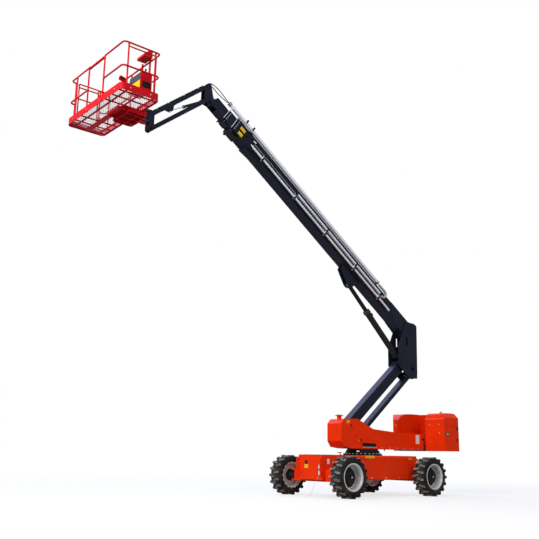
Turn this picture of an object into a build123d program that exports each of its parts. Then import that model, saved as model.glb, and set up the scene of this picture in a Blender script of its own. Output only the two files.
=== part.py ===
"""Electric telescopic boom lift: wheeled chassis, turntable, parallel riser, three section boom, jib and basket.

Millimetres. +X runs forward, along the boom, +Y to the left and +Z up.
The origin is on the ground under the middle of the wheelbase.
The boom, riser and jib stand raised, as the machine is parked in the picture.
"""
import os
from math import atan2, cos, degrees, hypot, pi, radians, sin
from build123d import *

os.makedirs("parts", exist_ok=True)

# Wheels and axles
WHEELBASE = 2950.0
TRACK = 2135.0
TYRE_D = 970.0
TYRE_W = 355.0
LUG_HEIGHT = 30.0
LUG_REACH = 92.0
LUGS_PER_SIDE = 17
RIM_D = 640.0
HUB_D = 330.0
AXLE_LOW = 360.0
AXLE_HIGH = 650.0
AXLE_DEPTH = 240.0
KINGPIN_Y = 800.0
KINGPIN_D = 110.0
YOKE_PLATE = 40.0
STEER_GAP = 8.0
STUB_R = 45.0
STUB_LENGTH = 60.0

# Chassis
BELLY_Z = 400.0
DECK_Z = 985.0
CHASSIS_WALL = 25.0
MID_HALF_WIDTH = 700.0
MID_REAR_GAP = 205.0
MID_FRONT_GAP = 625.0
END_HALF_WIDTH = 420.0
FRONT_OVERHANG = 225.0
REAR_OVERHANG = 275.0
COVER_THICK = 10.0

# Slewing ring and turntable
SLEW_X = -130.0
RING_D = 860.0
RING_LOW_D = 1000.0
TABLE_Z = 1148.0
PLATE_OUT = 250.0
PLATE_THICK = 30.0
NOSE_X = 884.0
NOSE_CHAMFER = 105.0
NOSE_LOW_Z = 1182.0
NOSE_TOP_Z = 1869.0
TAIL_REAR_X = -2900.0
TAIL_HALF_WIDTH = 965.0
HOOD_INNER_Y = 320.0
NEAR_HOOD_X = -2280.0
FAR_HOOD_X = -1910.0
HOOD_LOW_Z = 1130.0
HOOD_FRONT_Z = 2000.0
HOOD_TOP_Z = 2140.0
HOOD_BEVEL = 130.0
HOOD_WALL = 12.0
WEIGHT_TOP_Z = 1330.0

# Riser, its rear link and the upright that they carry
RISER_PIN = (557.0, 1712.0)
LINK_PIN = (200.0, 1365.0)
RISER_LENGTH = 2760.0
RISER_ANGLE = 140.4
RISER_WIDTH = 220.0
RISER_DEPTH = 265.0
RISER_DROP = 75.0
LINK_WIDTH = 185.0
LINK_DEPTH = 105.0
UPRIGHT_IN = 172.0
UPRIGHT_PLATE = 24.0
PIN_R = 35.0
BORE_GAP = 0.05
SWING_GAP = 8.0

# Telescopic boom, its pins placed from the riser's upper pin
BOOM_PIN_AT = (-310.383, 928.710)
BOOM_ANGLE = 35.1
BASE_WIDTH = 300.0
BASE_DEPTH = 380.0
BASE_REAR = 150.0
BASE_FRONT = 7650.0
MID_WIDTH = 252.0
MID_DEPTH = 324.0
MID_FRONT = 7935.0
FLY_WIDTH = 206.0
FLY_DEPTH = 270.0
FLY_FRONT = 8180.0
SECTION_WALL = 9.0
LIFT_PIN_AT = (59.617, 198.710)
LIFT_EYE = (2408.0, -441.0)
BARREL_LENGTH = 1620.0
BARREL_R = 82.0
LIFT_ROD_TAIL = 690.0
ROD_R = 40.0
EAR_GAP = 15.0
EAR_THICK = 25.0

# Fly head, jib and basket carrier, each placed from the pin before it
KNUCKLE_AT = (8396.190, -70.712)
JIB_PIN_AT = (145.0, -5.0)
JIB_RISE = 350.0
JIB_END_AT = (1445.0, -1160.0)
JIB_ARM_W = 90.0
JIB_ARM_H = 95.0
JIB_TWIN_W = 34.0
JIB_TWIN_IN = 94.0
HEAD_PLATE_OUT = 88.0
HEAD_PLATE = 20.0
JIB_EYE_AT = (1283.0, -112.0)
JIB_BARREL = 700.0
JIB_BARREL_R = 32.0
JIB_ROD_R = 20.0
JIB_PIN_R = 25.0
ROTATOR_AHEAD = 155.0
ROTATOR_UP = 120.0
ROTATOR_HEIGHT = 310.0
ROTATOR_R = 85.0

# Basket
BASKET_AHEAD = 811.0
BASKET_DEPTH = 910.0
BASKET_WIDTH = 2440.0
BASKET_DROP = 55.0
SUPPORT_BEAM = 1500.0
SUPPORT_BEAM_W = 130.0
SUPPORT_BEAM_Y = -330.0
TOE_HEIGHT = 160.0
TOE_WALL = 4.0
CORNER_R = 95.0
RAIL_R = 19.0
TOP_RAIL = 1080.0
MID_RAIL = 550.0
LOW_RAIL = 996.0
ENTRY_Y = (-330.0, 380.0)
GATE_GAP = 12.0

# Directions worked out from the angles
BOOM_U = (cos(radians(BOOM_ANGLE)), sin(radians(BOOM_ANGLE)))
RISER_U = (cos(radians(RISER_ANGLE)), sin(radians(RISER_ANGLE)))
RISER_TOP = (RISER_PIN[0] + RISER_LENGTH * RISER_U[0], RISER_PIN[1] + RISER_LENGTH * RISER_U[1])
LINK_TOP = (LINK_PIN[0] + RISER_LENGTH * RISER_U[0], LINK_PIN[1] + RISER_LENGTH * RISER_U[1])
WHEEL_Z = TYRE_D / 2
MID_REAR_X = -WHEELBASE / 2 + MID_REAR_GAP
MID_FRONT_X = WHEELBASE / 2 - MID_FRONT_GAP
FRONT_END_X = WHEELBASE / 2 + FRONT_OVERHANG
REAR_END_X = -WHEELBASE / 2 - REAR_OVERHANG
BOOM_PIN = (RISER_TOP[0] + BOOM_PIN_AT[0], RISER_TOP[1] + BOOM_PIN_AT[1])
LIFT_PIN = (RISER_TOP[0] + LIFT_PIN_AT[0], RISER_TOP[1] + LIFT_PIN_AT[1])
KNUCKLE_PIN = (
    BOOM_PIN[0] + KNUCKLE_AT[0] * BOOM_U[0] - KNUCKLE_AT[1] * BOOM_U[1],
    BOOM_PIN[1] + KNUCKLE_AT[0] * BOOM_U[1] + KNUCKLE_AT[1] * BOOM_U[0],
)
JIB_PIN = (KNUCKLE_PIN[0] + JIB_PIN_AT[0], KNUCKLE_PIN[1] + JIB_PIN_AT[1])
JIB_END_PIN = (JIB_PIN[0] + JIB_END_AT[0], JIB_PIN[1] + JIB_END_AT[1])
ROTATOR_X = JIB_END_PIN[0] + ROTATOR_AHEAD
ROTATOR_LOW_Z = JIB_END_PIN[1] + ROTATOR_UP
ROTATOR_HIGH_Z = ROTATOR_LOW_Z + ROTATOR_HEIGHT
BASKET_X = ROTATOR_X + BASKET_AHEAD
BASKET_LOW_Z = ROTATOR_LOW_Z - BASKET_DROP
TOP_RAIL_Z = BASKET_LOW_Z + TOP_RAIL
MID_RAIL_Z = BASKET_LOW_Z + MID_RAIL
LOW_RAIL_Z = BASKET_LOW_Z + LOW_RAIL
WHEELS = {
    "front_left": (WHEELBASE / 2, TRACK / 2, 1),
    "front_right": (WHEELBASE / 2, -TRACK / 2, -1),
    "rear_left": (-WHEELBASE / 2, TRACK / 2, 1),
    "rear_right": (-WHEELBASE / 2, -TRACK / 2, -1),
}


def keep(piece, label):
    """Label a finished piece and write it."""
    piece.part.label = label
    export_step(piece.part, f"parts/{label}.step")


def boom_point(along, across):
    """X and Z of a point given along and across the boom from its pivot pin."""
    return (
        BOOM_PIN[0] + along * BOOM_U[0] - across * BOOM_U[1],
        BOOM_PIN[1] + along * BOOM_U[1] + across * BOOM_U[0],
    )


def shifted(points, origin):
    """Points given from an origin, moved to it."""
    return [(origin[0] + x, origin[1] + z) for x, z in points]


def side_plane(origin, angle, y):
    """A sketch plane seen from the left side, its x turned up by angle; extrude runs towards -Y."""
    turn = radians(angle)
    return Plane(origin=(origin[0], y, origin[1]), x_dir=(cos(turn), 0, sin(turn)), z_dir=(0, -1, 0))


def cross_plane(origin, angle):
    """A sketch plane square to a beam: its x is +Y, its y is the beam's upper side."""
    turn = radians(angle)
    return Plane(origin=(origin[0], 0, origin[1]), x_dir=(0, 1, 0), z_dir=(cos(turn), 0, sin(turn)))


# One tyre with slanted lugs, turned about its own axle
half_tyre = TYRE_W / 2
tyre_r = TYRE_D / 2
bead_r = RIM_D / 2 - 22
shoulder_r = tyre_r - LUG_REACH + 34
lug_top = (tyre_r**2 - 58.0**2) ** 0.5
with BuildPart() as tyre:
    with BuildSketch(Plane.YZ):
        with BuildLine():
            Polyline((-half_tyre + 45, bead_r), (-half_tyre + 8, bead_r + 35))
            ThreePointArc(
                (-half_tyre + 8, bead_r + 35), (-half_tyre + 6, shoulder_r - 30), (-half_tyre + 26, shoulder_r)
            )
            Polyline(
                (-half_tyre + 26, shoulder_r),
                (-half_tyre + 84, tyre_r - LUG_HEIGHT),
                (half_tyre - 84, tyre_r - LUG_HEIGHT),
                (half_tyre - 26, shoulder_r),
            )
            ThreePointArc(
                (half_tyre - 26, shoulder_r), (half_tyre - 6, shoulder_r - 30), (half_tyre - 8, bead_r + 35)
            )
            Polyline((half_tyre - 8, bead_r + 35), (half_tyre - 45, bead_r), (-half_tyre + 45, bead_r))
        make_face()
    revolve(axis=Axis.Y)
    for row in (-1, 1):
        with BuildSketch(Plane.XY.offset(tyre_r - LUG_REACH)) as lug:
            with BuildLine():
                Polyline(
                    (-34, -row * 14),
                    (30, -row * 14),
                    (66, row * (half_tyre - 70)),
                    (66, row * (half_tyre + 1)),
                    (-6, row * (half_tyre + 1)),
                    (-6, row * (half_tyre - 62)),
                    close=True,
                )
            make_face()
        lug_block = extrude(lug.sketch, amount=lug_top - tyre_r + LUG_REACH, taper=6, mode=Mode.PRIVATE)
        for count in range(LUGS_PER_SIDE):
            step = count + (0.5 if row > 0 else 0.0)
            add(lug_block.rotate(Axis.Y, 360.0 / LUGS_PER_SIDE * step))

# One rim with its deep dish open to the outside, the drive hub inside and a bore for the stub axle
rim_r = RIM_D / 2
hub_back = 68.0
with BuildPart() as rim:
    with BuildSketch(Plane.YZ):
        with BuildLine():
            Polyline(
                (half_tyre - 12, rim_r),
                (half_tyre - 12, rim_r - 24),
                (half_tyre - 46, rim_r - 44),
                (-20, rim_r - 62),
                (-20, 0),
                (-44, 0),
                (-44, rim_r - 56),
                (-half_tyre + 46, rim_r - 44),
                (-half_tyre + 12, rim_r - 24),
                (-half_tyre + 12, rim_r),
                (-half_tyre + 26, rim_r),
                (-half_tyre + 50, rim_r - 24),
                (half_tyre - 50, rim_r - 24),
                (half_tyre - 26, rim_r),
                close=True,
            )
        make_face()
    revolve(axis=Axis.Y)
    with BuildSketch(Plane.XZ.offset(30)):
        Circle(HUB_D / 2)
    extrude(amount=-105, taper=8)
    with BuildSketch(Plane.XZ.offset(-70)):
        Circle(52)
    extrude(amount=-28)
    with BuildSketch(Plane.XZ.offset(40)):
        Circle(HUB_D / 2 + 15)
    extrude(amount=hub_back - 40)
    with BuildSketch(Plane.XZ.offset(hub_back)):
        Circle(STUB_R + 0.05)
    extrude(amount=-STUB_LENGTH, mode=Mode.SUBTRACT)

with BuildPart() as seated_tyre:
    add(tyre.part)
    add(rim.part, mode=Mode.SUBTRACT)

for place, (wheel_x, wheel_y, side) in WHEELS.items():
    spot = Location((wheel_x, wheel_y, WHEEL_Z), (0, 0, 0 if side > 0 else 180))
    for piece, name in ((seated_tyre, "tyre"), (rim, "rim")):
        with BuildPart() as placed:
            add(piece.part.moved(spot))
        keep(placed, f"{name}_{place}")

# Chassis: a wide middle between the wheels, narrow ends over the axles, open underneath
with BuildPart() as chassis_frame:
    with BuildSketch(Plane.XY.offset(BELLY_Z)):
        with BuildLine():
            Polyline(
                (MID_REAR_X, -MID_HALF_WIDTH),
                (MID_FRONT_X, -MID_HALF_WIDTH),
                (MID_FRONT_X, MID_HALF_WIDTH),
                (MID_REAR_X, MID_HALF_WIDTH),
                close=True,
            )
        make_face()
    extrude(amount=DECK_Z - BELLY_Z)
    chamfer(chassis_frame.faces().sort_by(Axis.Z)[-1].edges().filter_by(Axis.X), length=30)
    end_length = FRONT_END_X - REAR_END_X
    end_middle = (FRONT_END_X + REAR_END_X) / 2
    with BuildSketch(Plane.XY.offset(BELLY_Z)):
        with Locations((end_middle, 0)):
            Rectangle(end_length, 2 * END_HALF_WIDTH)
    extrude(amount=DECK_Z - BELLY_Z)
    with BuildSketch(Plane.XY.offset(BELLY_Z)):
        with Locations(((MID_REAR_X + MID_FRONT_X) / 2, 0)):
            Rectangle(MID_FRONT_X - MID_REAR_X - 2 * CHASSIS_WALL, 2 * (MID_HALF_WIDTH - CHASSIS_WALL))
        with Locations((end_middle, 0)):
            Rectangle(end_length - 2 * CHASSIS_WALL, 2 * (END_HALF_WIDTH - CHASSIS_WALL))
    extrude(amount=DECK_Z - BELLY_Z - CHASSIS_WALL, mode=Mode.SUBTRACT)
    for axle_x in (WHEELBASE / 2, -WHEELBASE / 2):
        with BuildSketch(Plane.XY.offset(BELLY_Z)):
            with Locations((axle_x, 0)):
                Rectangle(AXLE_DEPTH + 16, 2 * END_HALF_WIDTH)
        extrude(amount=AXLE_HIGH - BELLY_Z, mode=Mode.SUBTRACT)
        with BuildSketch(Plane.XY.offset(AXLE_HIGH)):
            with Locations((axle_x, 0)):
                Rectangle(AXLE_DEPTH + 70, 2 * END_HALF_WIDTH)
        extrude(amount=CHASSIS_WALL)
    for end_x, way in ((FRONT_END_X, 1), (REAR_END_X, -1)):
        for y in (END_HALF_WIDTH, -END_HALF_WIDTH + 30):
            with BuildSketch(Plane.XZ.offset(-y)):
                with BuildLine():
                    Polyline(
                        (end_x, 465),
                        (end_x + way * 40, 480),
                        (end_x + way * 80, 760),
                        (end_x + way * 80, 880),
                        (end_x + way * 40, 930),
                        (end_x, 930),
                        close=True,
                    )
                make_face()
                with Locations((end_x + way * 38, 850)):
                    Circle(26, mode=Mode.SUBTRACT)
            extrude(amount=30)
    for web_x in (MID_REAR_X + 620, MID_FRONT_X - 520):
        with BuildSketch(Plane.XY.offset(BELLY_Z)):
            with Locations((web_x, 0)):
                Rectangle(16, 2 * (MID_HALF_WIDTH - CHASSIS_WALL))
        extrude(amount=DECK_Z - BELLY_Z - CHASSIS_WALL)
    for way in (1, -1):
        with BuildSketch(Plane.XY.offset(BELLY_Z)):
            with Locations(((MID_REAR_X + MID_FRONT_X) / 2, way * (END_HALF_WIDTH - CHASSIS_WALL / 2))):
                Rectangle(MID_FRONT_X - MID_REAR_X, 16)
        extrude(amount=DECK_Z - BELLY_Z - CHASSIS_WALL)
keep(chassis_frame, "chassis_frame")

with BuildPart() as side_covers:
    for y in (MID_HALF_WIDTH + COVER_THICK, -MID_HALF_WIDTH):
        with BuildSketch(Plane.XZ.offset(-y)):
            with Locations(((MID_REAR_X + MID_FRONT_X) / 2, (BELLY_Z + DECK_Z - 40) / 2)):
                RectangleRounded(MID_FRONT_X - MID_REAR_X - 60, DECK_Z - 40 - BELLY_Z - 30, 20)
        extrude(amount=COVER_THICK)
keep(side_covers, "side_covers")

# Axle beams: the front one ends in yokes for the kingpins, the rear one in hub flanges
axle_mid_z = (AXLE_LOW + AXLE_HIGH) / 2
with BuildPart() as front_axle:
    beam_end = KINGPIN_Y - 110
    with BuildSketch(Plane.XY.offset(AXLE_LOW)):
        with Locations((WHEELBASE / 2, 0)):
            Rectangle(AXLE_DEPTH, 2 * beam_end)
    extrude(amount=AXLE_HIGH - AXLE_LOW)
    for low in (AXLE_LOW, AXLE_HIGH - YOKE_PLATE):
        with BuildSketch(Plane.XY.offset(low)):
            for way in (1, -1):
                with Locations((WHEELBASE / 2, way * (beam_end + 55))):
                    Rectangle(AXLE_DEPTH, 110)
                with Locations((WHEELBASE / 2, way * KINGPIN_Y)):
                    Circle(80)
        extrude(amount=YOKE_PLATE)
    for way in (1, -1):
        with BuildSketch(Plane.XY.offset(AXLE_LOW - 20)):
            with Locations((WHEELBASE / 2, way * KINGPIN_Y)):
                Circle(KINGPIN_D / 2 - 15 + BORE_GAP)
        extrude(amount=AXLE_HIGH - AXLE_LOW + 40, mode=Mode.SUBTRACT)
keep(front_axle, "front_axle")

hub_back_y = TRACK / 2 - hub_back
with BuildPart() as rear_axle:
    with BuildSketch(Plane.XY.offset(AXLE_LOW)):
        with Locations((-WHEELBASE / 2, 0)):
            Rectangle(AXLE_DEPTH, 2 * (KINGPIN_Y - 40))
    extrude(amount=AXLE_HIGH - AXLE_LOW)
    for way in (1, -1):
        with BuildSketch(Plane(origin=(-WHEELBASE / 2, way * (KINGPIN_Y - 60), WHEEL_Z), z_dir=(0, way, 0))):
            Circle(135)
        extrude(amount=hub_back_y - 2 - (KINGPIN_Y - 60))
        with BuildSketch(Plane(origin=(-WHEELBASE / 2, way * (hub_back_y - 5), WHEEL_Z), z_dir=(0, way, 0))):
            Circle(STUB_R)
        extrude(amount=STUB_LENGTH - 5)
keep(rear_axle, "rear_axle")

for name, way in (("left", 1), ("right", -1)):
    with BuildPart() as knuckle:
        swivel_low = AXLE_LOW + YOKE_PLATE + STEER_GAP
        swivel_high = AXLE_HIGH - YOKE_PLATE - STEER_GAP
        with BuildSketch(Plane.XY.offset(swivel_low)):
            with Locations((WHEELBASE / 2, way * KINGPIN_Y)):
                Circle(70)
        extrude(amount=swivel_high - swivel_low)
        with BuildSketch(Plane.XY.offset(AXLE_LOW - 12)):
            with Locations((WHEELBASE / 2, way * KINGPIN_Y)):
                Circle(KINGPIN_D / 2 - 15)
        extrude(amount=AXLE_HIGH - AXLE_LOW + 24)
        with BuildSketch(Plane(origin=(WHEELBASE / 2, way * (KINGPIN_Y + 20), WHEEL_Z), z_dir=(0, way, 0))):
            Circle(84)
        extrude(amount=hub_back_y - 40 - KINGPIN_Y)
        with BuildSketch(Plane(origin=(WHEELBASE / 2, way * (hub_back_y - 50), WHEEL_Z), z_dir=(0, way, 0))):
            Circle(140)
        extrude(amount=48)
        with BuildSketch(Plane(origin=(WHEELBASE / 2, way * (hub_back_y - 5), WHEEL_Z), z_dir=(0, way, 0))):
            Circle(STUB_R)
        extrude(amount=STUB_LENGTH - 5)
    keep(knuckle, f"steer_knuckle_{name}")


def side_plates(outline, outer, thick):
    """A pair of equal plates cut to a side outline, their outer faces at plus and minus outer."""
    with BuildPart() as pair:
        for y in (outer, -outer + thick):
            with BuildSketch(Plane.XZ.offset(-y)):
                with BuildLine():
                    Polyline(*outline, close=True)
                make_face()
            extrude(amount=thick)
    return pair.part


def cross_bar(spot, radius, half_length):
    """A round bar across the machine at an X and Z."""
    with BuildPart() as bar:
        with BuildSketch(Plane.XZ.offset(-half_length)):
            with Locations(spot):
                Circle(radius)
        extrude(amount=2 * half_length)
    return bar.part


def beam_part(start, angle, length, width, depth, wall=0.0):
    """A rectangular beam along an angle from its start point, hollow where a wall is given."""
    with BuildPart() as beam:
        with BuildSketch(cross_plane(start, angle)):
            Rectangle(width, depth)
            if wall:
                Rectangle(width - 2 * wall, depth - 2 * wall, mode=Mode.SUBTRACT)
        extrude(amount=length)
    return beam.part


# Slewing ring: the fixed lower steps on the deck and the turning upper ring
ring_split = 1062.0
with BuildPart() as slew_ring_fixed:
    for low, high, diameter in ((DECK_Z, 1022, RING_LOW_D), (1022, ring_split - 2, RING_LOW_D - 90)):
        with BuildSketch(Plane.XY.offset(low)):
            with Locations((SLEW_X, 0)):
                Circle(diameter / 2)
                Circle(300, mode=Mode.SUBTRACT)
        extrude(amount=high - low)
keep(slew_ring_fixed, "slew_ring_fixed")

with BuildPart() as slew_ring_turning:
    for low, high, diameter in ((ring_split, 1110, RING_D), (1110, TABLE_Z, RING_D - 60)):
        with BuildSketch(Plane.XY.offset(low)):
            with Locations((SLEW_X, 0)):
                Circle(diameter / 2)
                Circle(300, mode=Mode.SUBTRACT)
        extrude(amount=high - low)
keep(slew_ring_turning, "slew_ring_turning")

# Turntable: two tall side plates with a closed nose, pivot bosses and pins
table_outline = [
    (NOSE_X, 1322),
    (NOSE_X, 1754),
    (NOSE_X - NOSE_CHAMFER, NOSE_TOP_Z),
    (297, 1888),
    (-146, 1703),
    (-277, 1651),
    (-1044, 1598),
    (-2400, 1580),
    (-2400, TABLE_Z),
    (500, TABLE_Z),
    (NOSE_X - NOSE_CHAMFER, NOSE_LOW_Z),
]
with BuildPart() as turntable_frame:
    add(side_plates(table_outline, PLATE_OUT, PLATE_THICK))
    inside = PLATE_OUT - PLATE_THICK
    with BuildSketch(Plane.XZ.offset(-inside)):
        with BuildLine():
            Polyline(
                (500, TABLE_Z + 2),
                (NOSE_X - NOSE_CHAMFER, NOSE_LOW_Z),
                (NOSE_X, 1322),
                (NOSE_X, 1754),
                (NOSE_X - NOSE_CHAMFER, NOSE_TOP_Z),
                (650, 1873),
            )
            offset(amount=16, side=Side.LEFT)
        make_face()
    extrude(amount=2 * inside)
    with BuildSketch(Plane.XY.offset(TABLE_Z)):
        with Locations(((500 - 2400) / 2, 0)):
            Rectangle(2900, 2 * inside)
    extrude(amount=25)
    for spot in (RISER_PIN, LINK_PIN):
        add(cross_bar(spot, PIN_R, PLATE_OUT + 14))
        for y in (PLATE_OUT + 8, -PLATE_OUT):
            with BuildSketch(Plane.XZ.offset(-y)):
                with Locations(spot):
                    Circle(95)
            extrude(amount=8)
    with BuildSketch(Plane.XZ.offset(-PLATE_OUT - 5)):
        with Locations((-130, 1244)):
            Rectangle(520, 92, rotation=2)
    extrude(amount=2 * PLATE_OUT + 10, mode=Mode.SUBTRACT)
    with BuildSketch(Plane.XY.offset(NOSE_TOP_Z)):
        with Locations((710, 0)):
            Circle(58)
    extrude(amount=80)
    with BuildSketch(Plane.XY.offset(NOSE_TOP_Z + 78)):
        with Locations((710, 0)):
            Circle(108)
    extrude(amount=14)
keep(turntable_frame, "turntable_frame")

# Tail: cast counterweight, two hoods with side doors, rear wall and the battery block
tail_plan = [
    (TAIL_REAR_X + HOOD_WALL, -TAIL_HALF_WIDTH + HOOD_WALL),
    (-2440, -TAIL_HALF_WIDTH + HOOD_WALL),
    (FAR_HOOD_X - HOOD_WALL, -505),
    (FAR_HOOD_X - HOOD_WALL, -PLATE_OUT - 0.3),
    (-2400 - 0.3, -PLATE_OUT - 0.3),
    (-2400 - 0.3, PLATE_OUT + 0.3),
    (NEAR_HOOD_X - HOOD_WALL, PLATE_OUT + 0.3),
    (NEAR_HOOD_X - HOOD_WALL, TAIL_HALF_WIDTH - HOOD_WALL),
    (TAIL_REAR_X + HOOD_WALL, TAIL_HALF_WIDTH - HOOD_WALL),
]
with BuildPart() as counterweight:
    with BuildSketch(Plane.XY.offset(HOOD_LOW_Z)):
        with BuildLine():
            Polyline(*tail_plan, close=True)
        make_face()
    extrude(amount=WEIGHT_TOP_Z - HOOD_LOW_Z)
keep(counterweight, "counterweight")


def hood_cut(front_x, front_z, rise_x):
    """The side outline of a hood: upright front, a bend up to the level top and a rounded tail."""
    with BuildPart() as block:
        with BuildSketch(Plane.XZ.offset(-TAIL_HALF_WIDTH - 50)):
            with BuildLine():
                Polyline(
                    (TAIL_REAR_X, HOOD_TOP_Z - 60),
                    (TAIL_REAR_X, WEIGHT_TOP_Z - 200),
                    (front_x, WEIGHT_TOP_Z - 200),
                    (front_x, front_z - 35),
                    (front_x - 30, front_z),
                    ((2 * front_x + rise_x) / 3, HOOD_TOP_Z - 0.38 * (HOOD_TOP_Z - front_z)),
                    ((front_x + 3 * rise_x) / 4, HOOD_TOP_Z - 0.06 * (HOOD_TOP_Z - front_z)),
                    (rise_x - 60, HOOD_TOP_Z),
                    (TAIL_REAR_X + 60, HOOD_TOP_Z),
                )
                RadiusArc((TAIL_REAR_X + 60, HOOD_TOP_Z), (TAIL_REAR_X, HOOD_TOP_Z - 60), -60)
            make_face()
        extrude(amount=2 * TAIL_HALF_WIDTH + 100)
    return block.part


def shoulder_cut(way):
    """The slanted shoulder that is cut along a hood's outer top edge."""
    with BuildPart() as block:
        with BuildSketch(Plane.YZ.offset(TAIL_REAR_X - 50)):
            Polygon(
                (way * (TAIL_HALF_WIDTH + 60), HOOD_TOP_Z - HOOD_BEVEL),
                (way * TAIL_HALF_WIDTH, HOOD_TOP_Z - HOOD_BEVEL),
                (way * (TAIL_HALF_WIDTH - HOOD_BEVEL), HOOD_TOP_Z),
                (way * (TAIL_HALF_WIDTH - HOOD_BEVEL), HOOD_TOP_Z + 60),
                (way * (TAIL_HALF_WIDTH + 60), HOOD_TOP_Z + 60),
                align=None,
            )
        extrude(amount=FAR_HOOD_X - TAIL_REAR_X + 100)
    return block.part


def hood_plan_block(plan):
    """A hood's plan drawn up from the counterweight's underside to over its top."""
    with BuildPart() as block:
        with BuildSketch(Plane.XY.offset(HOOD_LOW_Z)):
            with BuildLine():
                Polyline(*plan, close=True)
            make_face()
        extrude(amount=HOOD_TOP_Z - HOOD_LOW_Z + 50)
    return block.part


near_plan = [
    (TAIL_REAR_X, HOOD_INNER_Y),
    (NEAR_HOOD_X, HOOD_INNER_Y),
    (NEAR_HOOD_X, TAIL_HALF_WIDTH),
    (TAIL_REAR_X, TAIL_HALF_WIDTH),
]
far_plan = [
    (TAIL_REAR_X, -TAIL_HALF_WIDTH),
    (-2445, -TAIL_HALF_WIDTH),
    (FAR_HOOD_X, -505),
    (FAR_HOOD_X, -HOOD_INNER_Y),
    (TAIL_REAR_X, -HOOD_INNER_Y),
]
door_low = 1345.0
door_high = 1800.0
door_rear = TAIL_REAR_X + 35
door_gap = 4.0
HOODS = {
    "near": (near_plan, NEAR_HOOD_X, HOOD_FRONT_Z, NEAR_HOOD_X - 190, 1, NEAR_HOOD_X - 40),
    "far": (far_plan, FAR_HOOD_X, HOOD_FRONT_Z - 10, FAR_HOOD_X - 450, -1, -2490.0),
}
for name, (plan, front_x, front_z, rise_x, way, door_front) in HOODS.items():
    with BuildPart() as hood:
        add(hood_plan_block(plan))
        add(hood_cut(front_x, front_z, rise_x), mode=Mode.INTERSECT)
        add(shoulder_cut(way), mode=Mode.SUBTRACT)
        under = hood.faces().sort_by(Axis.Z)[0]
        offset(amount=-HOOD_WALL, openings=under)
        door_middle = ((door_front + door_rear) / 2, (door_low + door_high) / 2)
        with BuildSketch(Plane.XZ.offset(-way * TAIL_HALF_WIDTH)):
            with Locations(door_middle):
                Rectangle(door_front - door_rear, door_high - door_low)
        extrude(amount=50, both=True, mode=Mode.SUBTRACT)
        add(counterweight.part, mode=Mode.SUBTRACT)
    keep(hood, f"{name}_hood")
    with BuildPart() as door:
        with BuildSketch(Plane.XZ.offset(-way * (TAIL_HALF_WIDTH - 8))):
            with Locations(door_middle):
                Rectangle(door_front - door_rear - 2 * door_gap, door_high - door_low - 2 * door_gap)
        extrude(amount=8 if way > 0 else -8)
    keep(door, f"{name}_door")

with BuildPart() as rear_wall:
    with BuildSketch(Plane.YZ.offset(TAIL_REAR_X)):
        with Locations((0, (WEIGHT_TOP_Z + HOOD_TOP_Z - 5) / 2)):
            Rectangle(2 * HOOD_INNER_Y - 1, HOOD_TOP_Z - 5 - WEIGHT_TOP_Z)
    extrude(amount=30)
keep(rear_wall, "rear_wall")

with BuildPart() as battery_pack:
    with BuildSketch(Plane.XY.offset(WEIGHT_TOP_Z)):
        with Locations(((NEAR_HOOD_X + TAIL_REAR_X) / 2, (HOOD_INNER_Y + TAIL_HALF_WIDTH) / 2 - 20)):
            Rectangle(480, 480)
        with Locations((-2600, -(HOOD_INNER_Y + TAIL_HALF_WIDTH) / 2 + 20)):
            Rectangle(440, 480)
    extrude(amount=520)
keep(battery_pack, "battery_pack")

with BuildPart() as beacon:
    with BuildSketch(Plane.XY.offset(HOOD_TOP_Z)):
        with Locations((-2680, 560)):
            Circle(36)
    extrude(amount=14)
    with BuildSketch(Plane.XY.offset(HOOD_TOP_Z + 14)):
        with Locations((-2680, 560)):
            Circle(30)
    extrude(amount=44, taper=6)
keep(beacon, "beacon")


def beam_point(pin, angle, along, across):
    """X and Z of a point along a beam from its pin, and across it to the left of its direction."""
    turn = radians(angle)
    return (
        pin[0] + along * cos(turn) - across * sin(turn),
        pin[1] + along * sin(turn) + across * cos(turn),
    )


def bored_bar(spot, radius, half_length, bore):
    """A boss across the machine with a running bore."""
    with BuildPart() as bar:
        with BuildSketch(Plane.XZ.offset(-half_length)):
            with Locations(spot):
                Circle(radius)
                Circle(bore, mode=Mode.SUBTRACT)
        extrude(amount=2 * half_length)
    return bar.part


def bore_cut(spot, bore, half_length):
    """The cutter that opens a running bore through everything within half_length."""
    return cross_bar(spot, bore, half_length)


def pad_ring(along, width, depth, inner_width):
    """Wear pads round a boom section, as thick on all four sides as the gap that they fill."""
    inner_depth = inner_width + depth - width
    with BuildPart() as ring:
        with BuildSketch(cross_plane(boom_point(along, 0), BOOM_ANGLE)):
            Rectangle(width, depth)
            Rectangle(inner_width, inner_depth, mode=Mode.SUBTRACT)
        extrude(amount=100)
    return ring.part


table_in = PLATE_OUT - PLATE_THICK
upright_out = UPRIGHT_IN + UPRIGHT_PLATE
pin_bore = PIN_R + BORE_GAP

# Riser: a box beam hung just below its two pins
with BuildPart() as riser:
    start = beam_point(RISER_PIN, RISER_ANGLE, -70, RISER_DROP)
    add(beam_part(start, RISER_ANGLE, RISER_LENGTH + 140, RISER_WIDTH, RISER_DEPTH, 12))
    add(cross_bar(RISER_PIN, 72, table_in - SWING_GAP))
    add(cross_bar(RISER_TOP, 66, UPRIGHT_IN - SWING_GAP))
    for along in (-70, RISER_LENGTH + 58):
        cap_start = beam_point(RISER_PIN, RISER_ANGLE, along, RISER_DROP)
        with BuildSketch(cross_plane(cap_start, RISER_ANGLE)):
            Rectangle(RISER_WIDTH, RISER_DEPTH)
            Circle(25, mode=Mode.SUBTRACT)
        extrude(amount=12)
    for spot in (RISER_PIN, RISER_TOP):
        add(bore_cut(spot, pin_bore, 300), mode=Mode.SUBTRACT)
keep(riser, "riser")

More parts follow.
